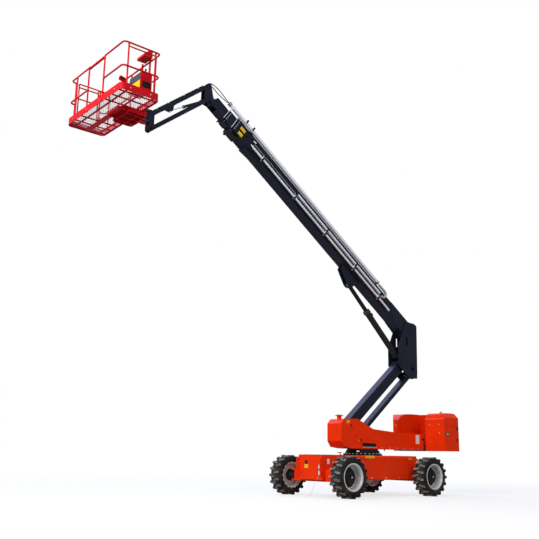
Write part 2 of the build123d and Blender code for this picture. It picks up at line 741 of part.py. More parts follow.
# Rear link: a slimmer beam that keeps the upright level
with BuildPart() as rear_link:
    start = beam_point(LINK_PIN, RISER_ANGLE, 40, 0)
    add(beam_part(start, RISER_ANGLE, RISER_LENGTH - 80, LINK_WIDTH, LINK_DEPTH, 10))
    add(cross_bar(LINK_PIN, 62, table_in - SWING_GAP))
    add(cross_bar(LINK_TOP, 58, UPRIGHT_IN - SWING_GAP))
    for spot in (LINK_PIN, LINK_TOP):
        add(bore_cut(spot, pin_bore, 300), mode=Mode.SUBTRACT)
keep(rear_link, "rear_link")

# Upright: two tall cheek plates with a rear web, carried level by the riser and the link
upright_outline = [
    (BOOM_PIN[0] + 130, BOOM_PIN[1] + 241),
    (BOOM_PIN[0] - 220, BOOM_PIN[1] + 212),
    (BOOM_PIN[0] - 310, BOOM_PIN[1] + 160),
    (LINK_TOP[0] - 235, LINK_TOP[1] - 39),
    (LINK_TOP[0] + 67, LINK_TOP[1] - 64),
    (RISER_TOP[0] + 160, RISER_TOP[1] - 79),
    (LIFT_PIN[0] + 100, LIFT_PIN[1] + 230),
]
boom_pin_r = 45.0
with BuildPart() as upright:
    add(side_plates(upright_outline, upright_out, UPRIGHT_PLATE))
    with BuildSketch(Plane.XZ.offset(-UPRIGHT_IN - 1)):
        Polygon(
            (LINK_TOP[0] - 233, LINK_TOP[1] - 34),
            (LINK_TOP[0] - 218, LINK_TOP[1] - 34),
            (BOOM_PIN[0] - 265, BOOM_PIN[1] - 140),
            (BOOM_PIN[0] - 292, BOOM_PIN[1] - 140),
            align=None,
        )
    extrude(amount=2 * UPRIGHT_IN + 2)
    with BuildSketch(Plane.XZ.offset(-upright_out)):
        with Locations((BOOM_PIN[0] + 115, BOOM_PIN[1] - 318)):
            SlotOverall(250, 66, rotation=90)
        with Locations((LINK_TOP[0] - 61, LINK_TOP[1] + 206)):
            Circle(62)
        with Locations((BOOM_PIN[0] - 95, BOOM_PIN[1] + 120), (BOOM_PIN[0] - 95, BOOM_PIN[1] - 70)):
            Circle(13)
    extrude(amount=2 * upright_out, mode=Mode.SUBTRACT)
    for spot, radius in ((RISER_TOP, PIN_R), (LINK_TOP, PIN_R), (LIFT_PIN, PIN_R), (BOOM_PIN, boom_pin_r)):
        add(cross_bar(spot, radius, upright_out + 10))
keep(upright, "upright")

# Boom base section: box beam, root cheeks, lift cylinder ears, underside box and front collar
ear_in = ROD_R + EAR_GAP
with BuildPart() as boom_base:
    start = boom_point(-BASE_REAR, 0)
    add(beam_part(start, BOOM_ANGLE, BASE_FRONT + BASE_REAR, BASE_WIDTH, BASE_DEPTH, SECTION_WALL))
    cheek = [(-BASE_REAR, -190), (-60, -230), (130, -235), (620, -190), (980, 120), (980, 190), (-BASE_REAR, 190)]
    for y in (BASE_WIDTH / 2 + 14, -BASE_WIDTH / 2):
        with BuildSketch(side_plane(BOOM_PIN, BOOM_ANGLE, y)):
            with BuildLine():
                Polyline(*cheek, close=True)
            make_face()
        extrude(amount=14)
    add(cross_bar(BOOM_PIN, 90, UPRIGHT_IN - SWING_GAP))
    ears = [
        (2150, -186),
        (2265, -385),
        (2310, -490),
        (2390, -530),
        (2480, -520),
        (2880, -335),
        (2890, -186),
    ]
    for y in (ear_in + EAR_THICK, -ear_in):
        with BuildSketch(side_plane(BOOM_PIN, BOOM_ANGLE, y)):
            with BuildLine():
                Polyline(*ears, close=True)
            make_face()
        extrude(amount=EAR_THICK)
    for y in (ear_in + EAR_THICK + 12, -ear_in - EAR_THICK):
        with BuildSketch(side_plane(BOOM_PIN, BOOM_ANGLE, y)):
            with Locations(LIFT_EYE):
                Circle(58)
        extrude(amount=12)
    with BuildSketch(side_plane(BOOM_PIN, BOOM_ANGLE, 105)):
        Polygon((6420, -188), (7020, -262), (7060, -262), (7060, -188), align=None)
    extrude(amount=210)
    for along in (BASE_FRONT - 22, BASE_FRONT - 150):
        with BuildSketch(cross_plane(boom_point(along, 0), BOOM_ANGLE)):
            Rectangle(BASE_WIDTH + 36, BASE_DEPTH + 36)
            Rectangle(BASE_WIDTH - 2 * SECTION_WALL, BASE_DEPTH - 2 * SECTION_WALL, mode=Mode.SUBTRACT)
        extrude(amount=22)
    add(pad_ring(BASE_FRONT - 130, BASE_WIDTH - 2 * SECTION_WALL, BASE_DEPTH - 2 * SECTION_WALL, MID_WIDTH + 2))
    add(bore_cut(BOOM_PIN, boom_pin_r + BORE_GAP, 300), mode=Mode.SUBTRACT)
keep(boom_base, "boom_base")

# Cable run on the left side: fixed track tubes, the chain's loop and the tube that moves with the mid section
TRACK_IN = BASE_WIDTH / 2 + 12
TRACK_OUT = TRACK_IN + 50
tube_low, tube_high = 178.0, 246.0
with BuildPart() as cable_track:
    for low, high, rear, front in ((16, 58, 1452, 6900), (-128, -84, 950, 6900)):
        with BuildSketch(side_plane(BOOM_PIN, BOOM_ANGLE, TRACK_OUT)):
            with BuildLine():
                Polyline((rear, low), (front, low), (front, high), (rear, high), close=True)
            make_face()
        extrude(amount=TRACK_OUT - TRACK_IN)
    for along in (1456, 2600, 3900, 5200, 6500):
        with BuildSketch(side_plane(BOOM_PIN, BOOM_ANGLE, TRACK_IN + 14)):
            with BuildLine():
                Polyline((along, -150), (along + 46, -150), (along + 46, 76), (along, 76), close=True)
            make_face()
        extrude(amount=TRACK_IN + 14 - BASE_WIDTH / 2)
    for along in (7180, 7420):
        with BuildSketch(side_plane(BOOM_PIN, BOOM_ANGLE, 262)):
            Polygon((along, 192), (along + 34, 192), (along + 34, 290), (along, 290), align=None)
        extrude(amount=262 - 60)
        with BuildSketch(side_plane(BOOM_PIN, BOOM_ANGLE, 248)):
            Polygon((along, 168), (along + 34, 168), (along + 34, 256), (along, 256), align=None)
        extrude(amount=248 - 152, mode=Mode.SUBTRACT)
keep(cable_track, "cable_track")

loop_r = (tube_high + tube_low) / 4 - 16 / 2
loop_mid = (tube_low + tube_high) / 2 - loop_r
loop_along = 1385.0
link_pitch = 46.0
with BuildPart() as cable_chain:
    spots = []
    for count in range(6):
        spots.append((loop_along + link_pitch * count + 12, loop_mid + loop_r, 0.0))
    spots.append((loop_along + 12, loop_mid - loop_r, 0.0))
    arc_links = 7
    for count in range(arc_links):
        turn = 90.0 + 180.0 * (count + 0.5) / arc_links
        spots.append(
            (loop_along + loop_r * cos(radians(turn)), loop_mid + loop_r * sin(radians(turn)), turn - 90.0)
        )
    for along, across, turn in spots:
        with BuildSketch(side_plane(BOOM_PIN, BOOM_ANGLE, 228)):
            with Locations(Location((along, across, 0), (0, 0, turn))):
                RectangleRounded(link_pitch + 6, 44, 10)
        extrude(amount=56)
keep(cable_chain, "cable_chain")

with BuildPart() as cable_tube:
    with BuildSketch(side_plane(BOOM_PIN, BOOM_ANGLE, 242)):
        Polygon((1700, tube_low), (8085, tube_low), (8085, tube_high), (1700, tube_high), align=None)
    extrude(amount=72)
    with BuildSketch(side_plane(BOOM_PIN, BOOM_ANGLE, 212)):
        Polygon((MID_FRONT - 22, 110), (MID_FRONT, 110), (MID_FRONT, 182), (MID_FRONT - 22, 182), align=None)
    extrude(amount=212 - MID_WIDTH / 2 - 20)
keep(cable_tube, "cable_tube")

# Inner boom sections
with BuildPart() as boom_mid:
    start = boom_point(900, 0)
    add(beam_part(start, BOOM_ANGLE, MID_FRONT - 900, MID_WIDTH, MID_DEPTH, SECTION_WALL))
    with BuildSketch(cross_plane(boom_point(MID_FRONT - 22, 0), BOOM_ANGLE)):
        Rectangle(MID_WIDTH + 40, MID_DEPTH + 40)
        Rectangle(MID_WIDTH - 2 * SECTION_WALL, MID_DEPTH - 2 * SECTION_WALL, mode=Mode.SUBTRACT)
    extrude(amount=22)
    add(pad_ring(930, BASE_WIDTH - 2 * SECTION_WALL - 2, BASE_DEPTH - 2 * SECTION_WALL - 2, MID_WIDTH))
    add(pad_ring(MID_FRONT - 150, MID_WIDTH - 2 * SECTION_WALL, MID_DEPTH - 2 * SECTION_WALL, FLY_WIDTH + 2))
keep(boom_mid, "boom_mid")

head_out = FLY_WIDTH / 2 + 14
knuckle_along = (KNUCKLE_PIN[0] - BOOM_PIN[0]) * BOOM_U[0] + (KNUCKLE_PIN[1] - BOOM_PIN[1]) * BOOM_U[1]
knuckle_across = -(KNUCKLE_PIN[0] - BOOM_PIN[0]) * BOOM_U[1] + (KNUCKLE_PIN[1] - BOOM_PIN[1]) * BOOM_U[0]
with BuildPart() as boom_fly:
    start = boom_point(1150, 0)
    add(beam_part(start, BOOM_ANGLE, FLY_FRONT - 1150, FLY_WIDTH, FLY_DEPTH, SECTION_WALL))
    add(pad_ring(1180, MID_WIDTH - 2 * SECTION_WALL - 2, MID_DEPTH - 2 * SECTION_WALL - 2, FLY_WIDTH))
    for y in (head_out, -head_out + 20):
        with BuildSketch(side_plane(BOOM_PIN, BOOM_ANGLE, y)):
            Polygon(
                (MID_FRONT + 40, -135),
                (knuckle_along, knuckle_across - 70),
                (knuckle_along, knuckle_across + 70),
                (knuckle_along - 60, 135),
                (MID_FRONT + 40, 135),
                align=None,
            )
            with Locations((knuckle_along, knuckle_across)):
                Circle(70)
        extrude(amount=20)
    add(cross_bar(KNUCKLE_PIN, PIN_R, head_out + 8))
keep(boom_fly, "boom_fly")

# Lift cylinder, its barrel pinned to the upright and its rod's eye between the boom's ears
lift_eye = boom_point(*LIFT_EYE)
lift_angle = degrees(atan2(lift_eye[1] - LIFT_PIN[1], lift_eye[0] - LIFT_PIN[0]))
lift_length = hypot(lift_eye[0] - LIFT_PIN[0], lift_eye[1] - LIFT_PIN[1])
with BuildPart() as lift_barrel:
    with BuildSketch(cross_plane(beam_point(LIFT_PIN, lift_angle, 60, 0), lift_angle)):
        Circle(BARREL_R)
    extrude(amount=BARREL_LENGTH - 60)
    with BuildSketch(cross_plane(beam_point(LIFT_PIN, lift_angle, BARREL_LENGTH - 90, 0), lift_angle)):
        Circle(BARREL_R + 14)
    extrude(amount=90)
    add(cross_bar(LIFT_PIN, 75, 80))
    add(bore_cut(LIFT_PIN, pin_bore, 300), mode=Mode.SUBTRACT)
    with BuildSketch(cross_plane(beam_point(LIFT_PIN, lift_angle, 200, 0), lift_angle)):
        Circle(ROD_R + BORE_GAP)
    extrude(amount=BARREL_LENGTH, mode=Mode.SUBTRACT)
keep(lift_barrel, "lift_barrel")

with BuildPart() as lift_rod:
    with BuildSketch(cross_plane(beam_point(LIFT_PIN, lift_angle, LIFT_ROD_TAIL, 0), lift_angle)):
        Circle(ROD_R)
    extrude(amount=lift_length - LIFT_ROD_TAIL - 40)
    add(bored_bar(lift_eye, 62, ROD_R + 6, 30))
keep(lift_rod, "lift_rod")


# Fly head: two plates that stay level, with the pins of the jib
head_in = HEAD_PLATE_OUT - HEAD_PLATE
jib_top_pin = (JIB_PIN[0], JIB_PIN[1] + JIB_RISE)
head_outline = shifted(
    [
        (-85, -25),
        (-58, -75),
        (10, -94),
        (182, -58),
        (202, 0),
        (192, 370),
        (155, 405),
        (85, 442),
        (30, 434),
        (-38, 130),
        (-80, 60),
    ],
    KNUCKLE_PIN,
)
with BuildPart() as fly_head:
    add(side_plates(head_outline, HEAD_PLATE_OUT, HEAD_PLATE))
    with BuildSketch(Plane.XZ.offset(-head_in)):
        Polygon(*shifted([(-32, 100), (-14, 96), (48, 426), (30, 430)], KNUCKLE_PIN), align=None)
    extrude(amount=2 * head_in)
    add(bored_bar(KNUCKLE_PIN, 85, HEAD_PLATE_OUT, pin_bore))
    add(bore_cut(KNUCKLE_PIN, pin_bore, 300), mode=Mode.SUBTRACT)
    add(cross_bar(JIB_PIN, JIB_PIN_R, JIB_TWIN_IN + JIB_TWIN_W + 6))
    add(cross_bar(jib_top_pin, JIB_PIN_R, HEAD_PLATE_OUT + 8))
keep(fly_head, "fly_head")

# Jib: a twin lower arm outside the head's plates, a single upper arm between them, and the end bracket
jib_run = (JIB_END_PIN[0] - JIB_PIN[0], JIB_END_PIN[1] - JIB_PIN[1])
jib_angle = degrees(atan2(jib_run[1], jib_run[0]))
jib_length = hypot(*jib_run)
end_top_pin = (JIB_END_PIN[0], JIB_END_PIN[1] + JIB_RISE)
jib_eye = beam_point(jib_top_pin, jib_angle, *JIB_EYE_AT)
jib_bore = JIB_PIN_R + BORE_GAP
twin_mid = JIB_TWIN_IN + JIB_TWIN_W / 2
with BuildPart() as jib_lower:
    for y in (JIB_TWIN_IN + JIB_TWIN_W, -JIB_TWIN_IN):
        with BuildSketch(side_plane(JIB_PIN, jib_angle, y)):
            with Locations((jib_length / 2, 0)):
                SlotCenterToCenter(jib_length, JIB_ARM_H)
        extrude(amount=JIB_TWIN_W)
    for along in (600, 1250):
        with BuildSketch(cross_plane(beam_point(JIB_PIN, jib_angle, along, -20), jib_angle)):
            Rectangle(2 * JIB_TWIN_IN + 4, 30)
        extrude(amount=60)
    for spot in (JIB_PIN, JIB_END_PIN):
        add(bore_cut(spot, jib_bore, 300), mode=Mode.SUBTRACT)
keep(jib_lower, "jib_lower")

slot_low, slot_high = 1040.0, 1560.0
with BuildPart() as jib_upper:
    add(beam_part(jib_top_pin, jib_angle, jib_length, JIB_ARM_W, JIB_ARM_H))
    with BuildSketch(side_plane(jib_top_pin, jib_angle, 37)):
        Polygon((80, -39), (jib_length - 80, -39), (jib_length - 80, 39), (80, 39), align=None)
    extrude(amount=74, mode=Mode.SUBTRACT)
    with BuildSketch(side_plane(jib_top_pin, jib_angle, 37)):
        Polygon((slot_low, -60), (slot_high, -60), (slot_high, 0), (slot_low, 0), align=None)
    extrude(amount=74, mode=Mode.SUBTRACT)
    for spot in (jib_top_pin, end_top_pin):
        add(cross_bar(spot, JIB_ARM_H / 2, head_in - SWING_GAP))
    for y in (45, -33):
        with BuildSketch(side_plane(jib_top_pin, jib_angle, y)):
            Polygon(
                (JIB_EYE_AT[0] - 130, -46),
                (JIB_EYE_AT[0] - 30, JIB_EYE_AT[1] - 30),
                (JIB_EYE_AT[0] + 30, JIB_EYE_AT[1] - 30),
                (JIB_EYE_AT[0] + 130, -46),
                align=None,
            )
        extrude(amount=12)
    for spot in (jib_top_pin, end_top_pin):
        add(bore_cut(spot, jib_bore, 300), mode=Mode.SUBTRACT)
keep(jib_upper, "jib_upper")

jib_push = (jib_eye[0] - JIB_PIN[0], jib_eye[1] - JIB_PIN[1])
jib_push_angle = degrees(atan2(jib_push[1], jib_push[0]))
jib_push_length = hypot(*jib_push)
jib_rod_tail = 240.0
with BuildPart() as jib_cylinder_barrel:
    with BuildSketch(cross_plane(beam_point(JIB_PIN, jib_push_angle, 30, 0), jib_push_angle)):
        Circle(JIB_BARREL_R)
    extrude(amount=JIB_BARREL - 30)
    add(cross_bar(JIB_PIN, 44, 45))
    add(bore_cut(JIB_PIN, jib_bore, 300), mode=Mode.SUBTRACT)
    with BuildSketch(cross_plane(beam_point(JIB_PIN, jib_push_angle, 90, 0), jib_push_angle)):
        Circle(JIB_ROD_R + BORE_GAP)
    extrude(amount=JIB_BARREL, mode=Mode.SUBTRACT)
keep(jib_cylinder_barrel, "jib_cylinder_barrel")

with BuildPart() as jib_cylinder_rod:
    with BuildSketch(cross_plane(beam_point(JIB_PIN, jib_push_angle, jib_rod_tail, 0), jib_push_angle)):
        Circle(JIB_ROD_R)
    extrude(amount=jib_push_length - jib_rod_tail - 20)
    add(bored_bar(jib_eye, 32, 22, 15))
keep(jib_cylinder_rod, "jib_cylinder_rod")

end_outline = shifted(
    [(-48, -20), (-30, -50), (65, -55), (83, -15), (83, 395), (60, 435), (-20, 415), (-50, 375)],
    JIB_END_PIN,
)
with BuildPart() as jib_end:
    add(side_plates(end_outline, HEAD_PLATE_OUT, HEAD_PLATE))
    with BuildSketch(Plane.XZ.offset(-head_in)):
        Polygon(*shifted([(63, -40), (83, -15), (83, 395), (63, 395)], JIB_END_PIN), align=None)
    extrude(amount=2 * head_in)
    add(cross_bar(JIB_END_PIN, JIB_PIN_R, JIB_TWIN_IN + JIB_TWIN_W + 6))
    add(cross_bar(end_top_pin, JIB_PIN_R, HEAD_PLATE_OUT + 8))
    with BuildSketch(Plane.XY.offset(ROTATOR_LOW_Z)):
        with Locations((ROTATOR_X, 0)):
            Circle(ROTATOR_R)
        with Locations((ROTATOR_X - 60, 0)):
            Rectangle(80, 150)
    extrude(amount=ROTATOR_HIGH_Z - ROTATOR_LOW_Z)
keep(jib_end, "jib_end")

# Basket carrier that turns about the rotator's upright axis
basket_in_x = BASKET_X - BASKET_DEPTH / 2
with BuildPart() as basket_support:
    for low in (ROTATOR_LOW_Z - SWING_GAP - 24, ROTATOR_HIGH_Z + SWING_GAP):
        with BuildSketch(Plane.XY.offset(low)):
            with Locations((ROTATOR_X, 0)):
                Circle(50)
            with Locations((ROTATOR_X + 85, 0)):
                Rectangle(170, 120)
        extrude(amount=24)
    with BuildSketch(Plane.XZ.offset(-65)):
        Polygon(
            *shifted(
                [(103, 23), (275, -118), (355, -118), (355, -10), (225, 110), (170, 260), (170, 397), (103, 397)],
                (ROTATOR_X, BASKET_LOW_Z),
            ),
            align=None,
        )
    extrude(amount=130)
    tray_low = BASKET_LOW_Z - 118
    with BuildSketch(Plane.XY.offset(tray_low)):
        with Locations((ROTATOR_X + 515, 270)):
            Rectangle(420, 700)
            Rectangle(400, 680, mode=Mode.SUBTRACT)
        for y in (50, 270, 490):
            with Locations((ROTATOR_X + 515, y)):
                Rectangle(404, 12)
        with Locations((ROTATOR_X + 470, 270)):
            Rectangle(12, 684)
    extrude(amount=94)
    with BuildSketch(Plane.XY.offset(BASKET_LOW_Z - 24)):
        with Locations((ROTATOR_X + 515, 270)):
            Rectangle(420, 700)
    extrude(amount=6)
    with BuildSketch(Plane.XY.offset(BASKET_LOW_Z - 18)):
        with Locations((BASKET_X, SUPPORT_BEAM_Y)):
            Rectangle(SUPPORT_BEAM_W, SUPPORT_BEAM)
        with Locations((ROTATOR_X + 590, 270)):
            Rectangle(520, 560)
    extrude(amount=18)
    with BuildSketch(Plane.XY.offset(BASKET_LOW_Z - 78)):
        with Locations((BASKET_X + 20, 270)):
            Rectangle(180, 500)
            Rectangle(164, 484, mode=Mode.SUBTRACT)
    extrude(amount=62)
keep(basket_support, "basket_support")

# Basket: toe boards and floor, rails, console, gate at the far end and the bar over the front entry
half_width = BASKET_WIDTH / 2
floor_z = BASKET_LOW_Z + 26
member_y = (half_width - 100, half_width - 390, half_width - 680)
with BuildPart() as basket_floor:
    with BuildSketch(Plane.XY.offset(floor_z)):
        with Locations((BASKET_X, 0)):
            RectangleRounded(BASKET_DEPTH - 2 * TOE_WALL, BASKET_WIDTH - 2 * TOE_WALL, CORNER_R - TOE_WALL)
    extrude(amount=4)
    with BuildSketch(Plane.XY.offset(BASKET_LOW_Z)):
        for y in (-member_y[0], -member_y[1], -member_y[2], *reversed(member_y)):
            with Locations((BASKET_X, y)):
                Rectangle(BASKET_DEPTH - 2 * TOE_WALL - 10, 30)
        for x in (-300, 0, 300):
            with Locations((BASKET_X + x, 0)):
                Rectangle(40, BASKET_WIDTH - 60)
    extrude(amount=26)
keep(basket_floor, "basket_floor")

with BuildPart() as basket_frame:
    with BuildSketch(Plane.XY.offset(BASKET_LOW_Z)):
        with Locations((BASKET_X, 0)):
            RectangleRounded(BASKET_DEPTH, BASKET_WIDTH, CORNER_R)
            RectangleRounded(
                BASKET_DEPTH - 2 * TOE_WALL, BASKET_WIDTH - 2 * TOE_WALL, CORNER_R - TOE_WALL, mode=Mode.SUBTRACT
            )
    extrude(amount=TOE_HEIGHT)
keep(basket_frame, "basket_frame")

rail_front = BASKET_X + BASKET_DEPTH / 2 - TOE_WALL - RAIL_R
rail_rear = BASKET_X - BASKET_DEPTH / 2 + TOE_WALL + RAIL_R
rail_side = half_width - TOE_WALL - RAIL_R
gate_post_x = rail_front - 113.0
gate_end_x = gate_post_x - 55.0
gate_hinge_x = rail_rear + 146.0
console_y = (rail_side - 747.0, rail_side - 267.0)


def rail_run(route, z, radius=RAIL_R):
    """A level rail along a route of X and Y corners, bent round at each."""
    with BuildPart() as run:
        with BuildLine(Plane.XY.offset(z)) as path:
            if len(route) > 2:
                FilletPolyline(*route, radius=CORNER_R - RAIL_R)
            else:
                Polyline(*route)
        with BuildSketch(Plane(origin=path.line @ 0, z_dir=path.line % 0)):
            Circle(radius)
        sweep(path=path.line)
    return run.part


def upright_tube(spot, low, high, radius=RAIL_R):
    """An upright tube at an X and Y spot."""
    with BuildPart() as tube:
        with BuildSketch(Plane.XY.offset(low)):
            with Locations(spot):
                Circle(radius)
        extrude(amount=high - low)
    return tube.part


near_route = [(rail_front, ENTRY_Y[1]), (rail_front, rail_side), (rail_rear, rail_side)]
far_route = [(rail_rear, -rail_side), (gate_hinge_x, -rail_side)]
stub_route = [(rail_front, ENTRY_Y[0]), (rail_front, -rail_side), (gate_post_x, -rail_side)]
post_spots = [
    (rail_front, ENTRY_Y[1]),
    (rail_front, ENTRY_Y[0]),
    (rail_front, -rail_side + 297),
    (gate_post_x, -rail_side),
    (gate_hinge_x, -rail_side),
    (rail_rear, -rail_side + 177),
    (rail_rear, 0),
    (rail_rear, rail_side - 177),
    (gate_hinge_x - 30, rail_side),
    (gate_post_x, rail_side),
]
with BuildPart() as basket_rails:
    add(rail_run(near_route + far_route, TOP_RAIL_Z))
    add(rail_run(stub_route, TOP_RAIL_Z))
    add(rail_run(stub_route, MID_RAIL_Z))
    add(rail_run(near_route + [(rail_rear, console_y[1])], MID_RAIL_Z))
    add(rail_run([(rail_rear, console_y[0])] + far_route, MID_RAIL_Z))
    add(rail_run([(gate_post_x, rail_side), (gate_hinge_x - 30, rail_side)], LOW_RAIL_Z, 15))
    for spot in post_spots:
        add(upright_tube(spot, floor_z + 4, TOP_RAIL_Z, RAIL_R - 1))
keep(basket_rails, "basket_rails")

console_x = (rail_rear + RAIL_R, rail_rear + 296.0)
console_low = MID_RAIL_Z - 230
console_top = MID_RAIL_Z + 150
with BuildPart() as console:
    with BuildSketch(Plane.XZ.offset(-console_y[1])):
        Polygon(
            (console_x[0], console_low),
            (console_x[1] - 30, console_low),
            (console_x[1], console_low + 30),
            (console_x[1] - 12, console_top),
            (console_x[0], console_top),
            align=None,
        )
    extrude(amount=console_y[1] - console_y[0])
    offset(amount=-5, openings=console.faces().sort_by(Axis.X)[0])
    for y in (console_y[0] + 60, console_y[1] - 100):
        with BuildSketch(Plane.XY.offset(console_top)):
            with Locations((console_x[0] + 14, y)):
                Rectangle(28, 40)
        extrude(amount=420)
    hood = [
        (console_x[0], console_top + 400),
        (console_x[1] - 70, console_top + 400),
        (console_x[1] - 70, console_top + 455),
        (console_x[0] + 70, console_top + 580),
        (console_x[0], console_top + 580),
    ]
    with BuildSketch(Plane.XZ.offset(-console_y[1] + 30)):
        with BuildLine():
            Polyline(*hood, close=True)
        make_face()
        offset(amount=-6, mode=Mode.SUBTRACT)
    extrude(amount=console_y[1] - console_y[0] - 180)
    for y in (console_y[1] - 30, console_y[0] + 156):
        with BuildSketch(Plane.XZ.offset(-y)):
            with BuildLine():
                Polyline(*hood, close=True)
            make_face()
        extrude(amount=6)
keep(console, "console")

with BuildPart() as basket_gate:
    for z in (TOP_RAIL_Z + 5, TOP_RAIL_Z - 78, MID_RAIL_Z + 170):
        with BuildSketch(Plane.YZ.offset(gate_hinge_x + 50)):
            with Locations((-rail_side, z)):
                Circle(16)
        extrude(amount=gate_end_x - gate_hinge_x - 66)
    for x in (gate_hinge_x + 50, gate_end_x - 16):
        add(upright_tube((x, -rail_side), MID_RAIL_Z - 220, TOP_RAIL_Z + 5, 16))
    for z in (MID_RAIL_Z - 180, TOP_RAIL_Z - 150):
        with BuildSketch(Plane.XY.offset(z)):
            with Locations((gate_hinge_x + 25, -rail_side)):
                Rectangle(50, 20)
            with Locations((gate_hinge_x, -rail_side)):
                Circle(32)
                Circle(RAIL_R - 1 + BORE_GAP, mode=Mode.SUBTRACT)
        extrude(amount=50)
keep(basket_gate, "basket_gate")

bar_z = TOP_RAIL_Z - 30
with BuildPart() as entry_bar:
    with BuildSketch(Plane.XZ.offset(-ENTRY_Y[1] + RAIL_R + 16)):
        with Locations((rail_front, bar_z)):
            Circle(27)
    extrude(amount=ENTRY_Y[1] - ENTRY_Y[0] - 2 * RAIL_R - 22)
    with BuildSketch(Plane.YZ.offset(rail_front - 34)):
        with Locations((ENTRY_Y[1] - 60, bar_z)):
            Circle(9)
    extrude(amount=68)
keep(entry_bar, "entry_bar")
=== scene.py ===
"""Looks for the electric telescopic boom lift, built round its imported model.

Every length is in metres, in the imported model's frame: +X forward along the boom, +Y left, +Z up.
"""
from math import atan2, cos, pi, radians, sin

import bmesh
import bpy
from mathutils import Matrix, Vector


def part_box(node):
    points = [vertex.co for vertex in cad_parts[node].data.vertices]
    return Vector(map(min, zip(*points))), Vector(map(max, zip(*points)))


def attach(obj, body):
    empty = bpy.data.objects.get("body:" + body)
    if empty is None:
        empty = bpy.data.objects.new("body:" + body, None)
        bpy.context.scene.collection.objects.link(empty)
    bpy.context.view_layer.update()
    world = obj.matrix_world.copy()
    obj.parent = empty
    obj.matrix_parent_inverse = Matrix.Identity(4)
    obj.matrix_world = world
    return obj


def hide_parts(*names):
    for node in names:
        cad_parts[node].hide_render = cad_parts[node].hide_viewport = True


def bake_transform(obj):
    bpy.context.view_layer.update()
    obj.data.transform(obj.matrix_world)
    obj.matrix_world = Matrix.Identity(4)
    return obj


bl_info = {
    "name": "Boom Lift Looks",
    "version": (1, 0, 0),
    "blender": (4, 5, 0),
    "location": "3D Viewport > Sidebar > Boom Lift",
    "description": "Finishes and small parts for an electric telescopic boom lift",
    "category": "Object",
}

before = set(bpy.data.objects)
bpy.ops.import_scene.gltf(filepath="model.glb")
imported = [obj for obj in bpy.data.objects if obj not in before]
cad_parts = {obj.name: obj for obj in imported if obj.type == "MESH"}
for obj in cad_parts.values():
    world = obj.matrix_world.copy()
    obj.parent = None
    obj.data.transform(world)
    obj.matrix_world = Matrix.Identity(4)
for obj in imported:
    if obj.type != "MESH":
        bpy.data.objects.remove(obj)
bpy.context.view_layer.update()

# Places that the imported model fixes
BOOM_PIN = (-1.880, 4.400)
BOOM_ANGLE = radians(35.1)
JIB_PIN = (5.175, 9.165)
JIB_END = (6.620, 8.005)
JIB_RISE = 0.350
JIB_TOP_PIN = (JIB_PIN[0], JIB_PIN[1] + JIB_RISE)
JIB_ANGLE = atan2(JIB_END[1] - JIB_PIN[1], JIB_END[0] - JIB_PIN[0])
RISER_PIN = (0.557, 1.712)
RISER_ANGLE = radians(140.4)
RISER_LENGTH = 2.760
RISER_DROP = 0.075
RISER_DEPTH = 0.265
RISER_WIDTH = 0.220
LINK_PIN = (0.200, 1.365)
LIFT_PIN = (-1.510, 3.670)
LIFT_EYE = (2.408, -0.441)
UPRIGHT_RISER_PIN = (-1.570, 3.471)
UPRIGHT_LINK_PIN = (-1.927, 3.124)
WHEEL_X = 1.475
WHEEL_Y = 1.0675
WHEEL_Z = 0.485
STEER_ROD_X = 1.315
SLEW_X = -0.130
DECK_Z = 0.985
DECK_FRONT = 1.696
FRAME_SIDE = 0.250
UP = Vector((0, 0, 1))

# The photograph's view
CAMERA_PLACE = (14.65, 13.973, 0.971)
CAMERA_YAW = radians(230.37)
CAMERA_PITCH = radians(13.62)
CAMERA_ROLL = radians(0.936)
SENSOR_WIDTH = 36.0


class LiftColours(bpy.types.PropertyGroup):
    """Paint and trim colours"""

    body: bpy.props.FloatVectorProperty(
        name="Body paint", description="Orange red of the chassis, turntable and hoods",
        subtype="COLOR", size=3, default=(0.95, 0.037, 0.001), min=0, max=1,
    )
    boom: bpy.props.FloatVectorProperty(
        name="Boom paint", description="Dark slate of the boom, riser and jib",
        subtype="COLOR", size=3, default=(0.0135, 0.0160, 0.0300), min=0, max=1,
    )
    basket: bpy.props.FloatVectorProperty(
        name="Basket paint", description="Red of the basket's rails and toe boards",
        subtype="COLOR", size=3, default=(0.56, 0.007, 0.013), min=0, max=1,
    )
    silver: bpy.props.FloatVectorProperty(
        name="Tube silver", description="Bare aluminium of the cable tubes",
        subtype="COLOR", size=3, default=(0.78, 0.79, 0.87), min=0, max=1,
    )
    rubber: bpy.props.FloatVectorProperty(
        name="Tyre rubber", description="Black of the tyres",
        subtype="COLOR", size=3, default=(0.016, 0.0155, 0.015), min=0, max=1,
    )
    dust: bpy.props.FloatVectorProperty(
        name="Dust", description="Dry dust on level and low surfaces",
        subtype="COLOR", size=3, default=(0.30, 0.25, 0.20), min=0, max=1,
    )
    label: bpy.props.FloatVectorProperty(
        name="Label yellow", description="Blank yellow plates",
        subtype="COLOR", size=3, default=(0.85, 0.52, 0.02), min=0, max=1,
    )


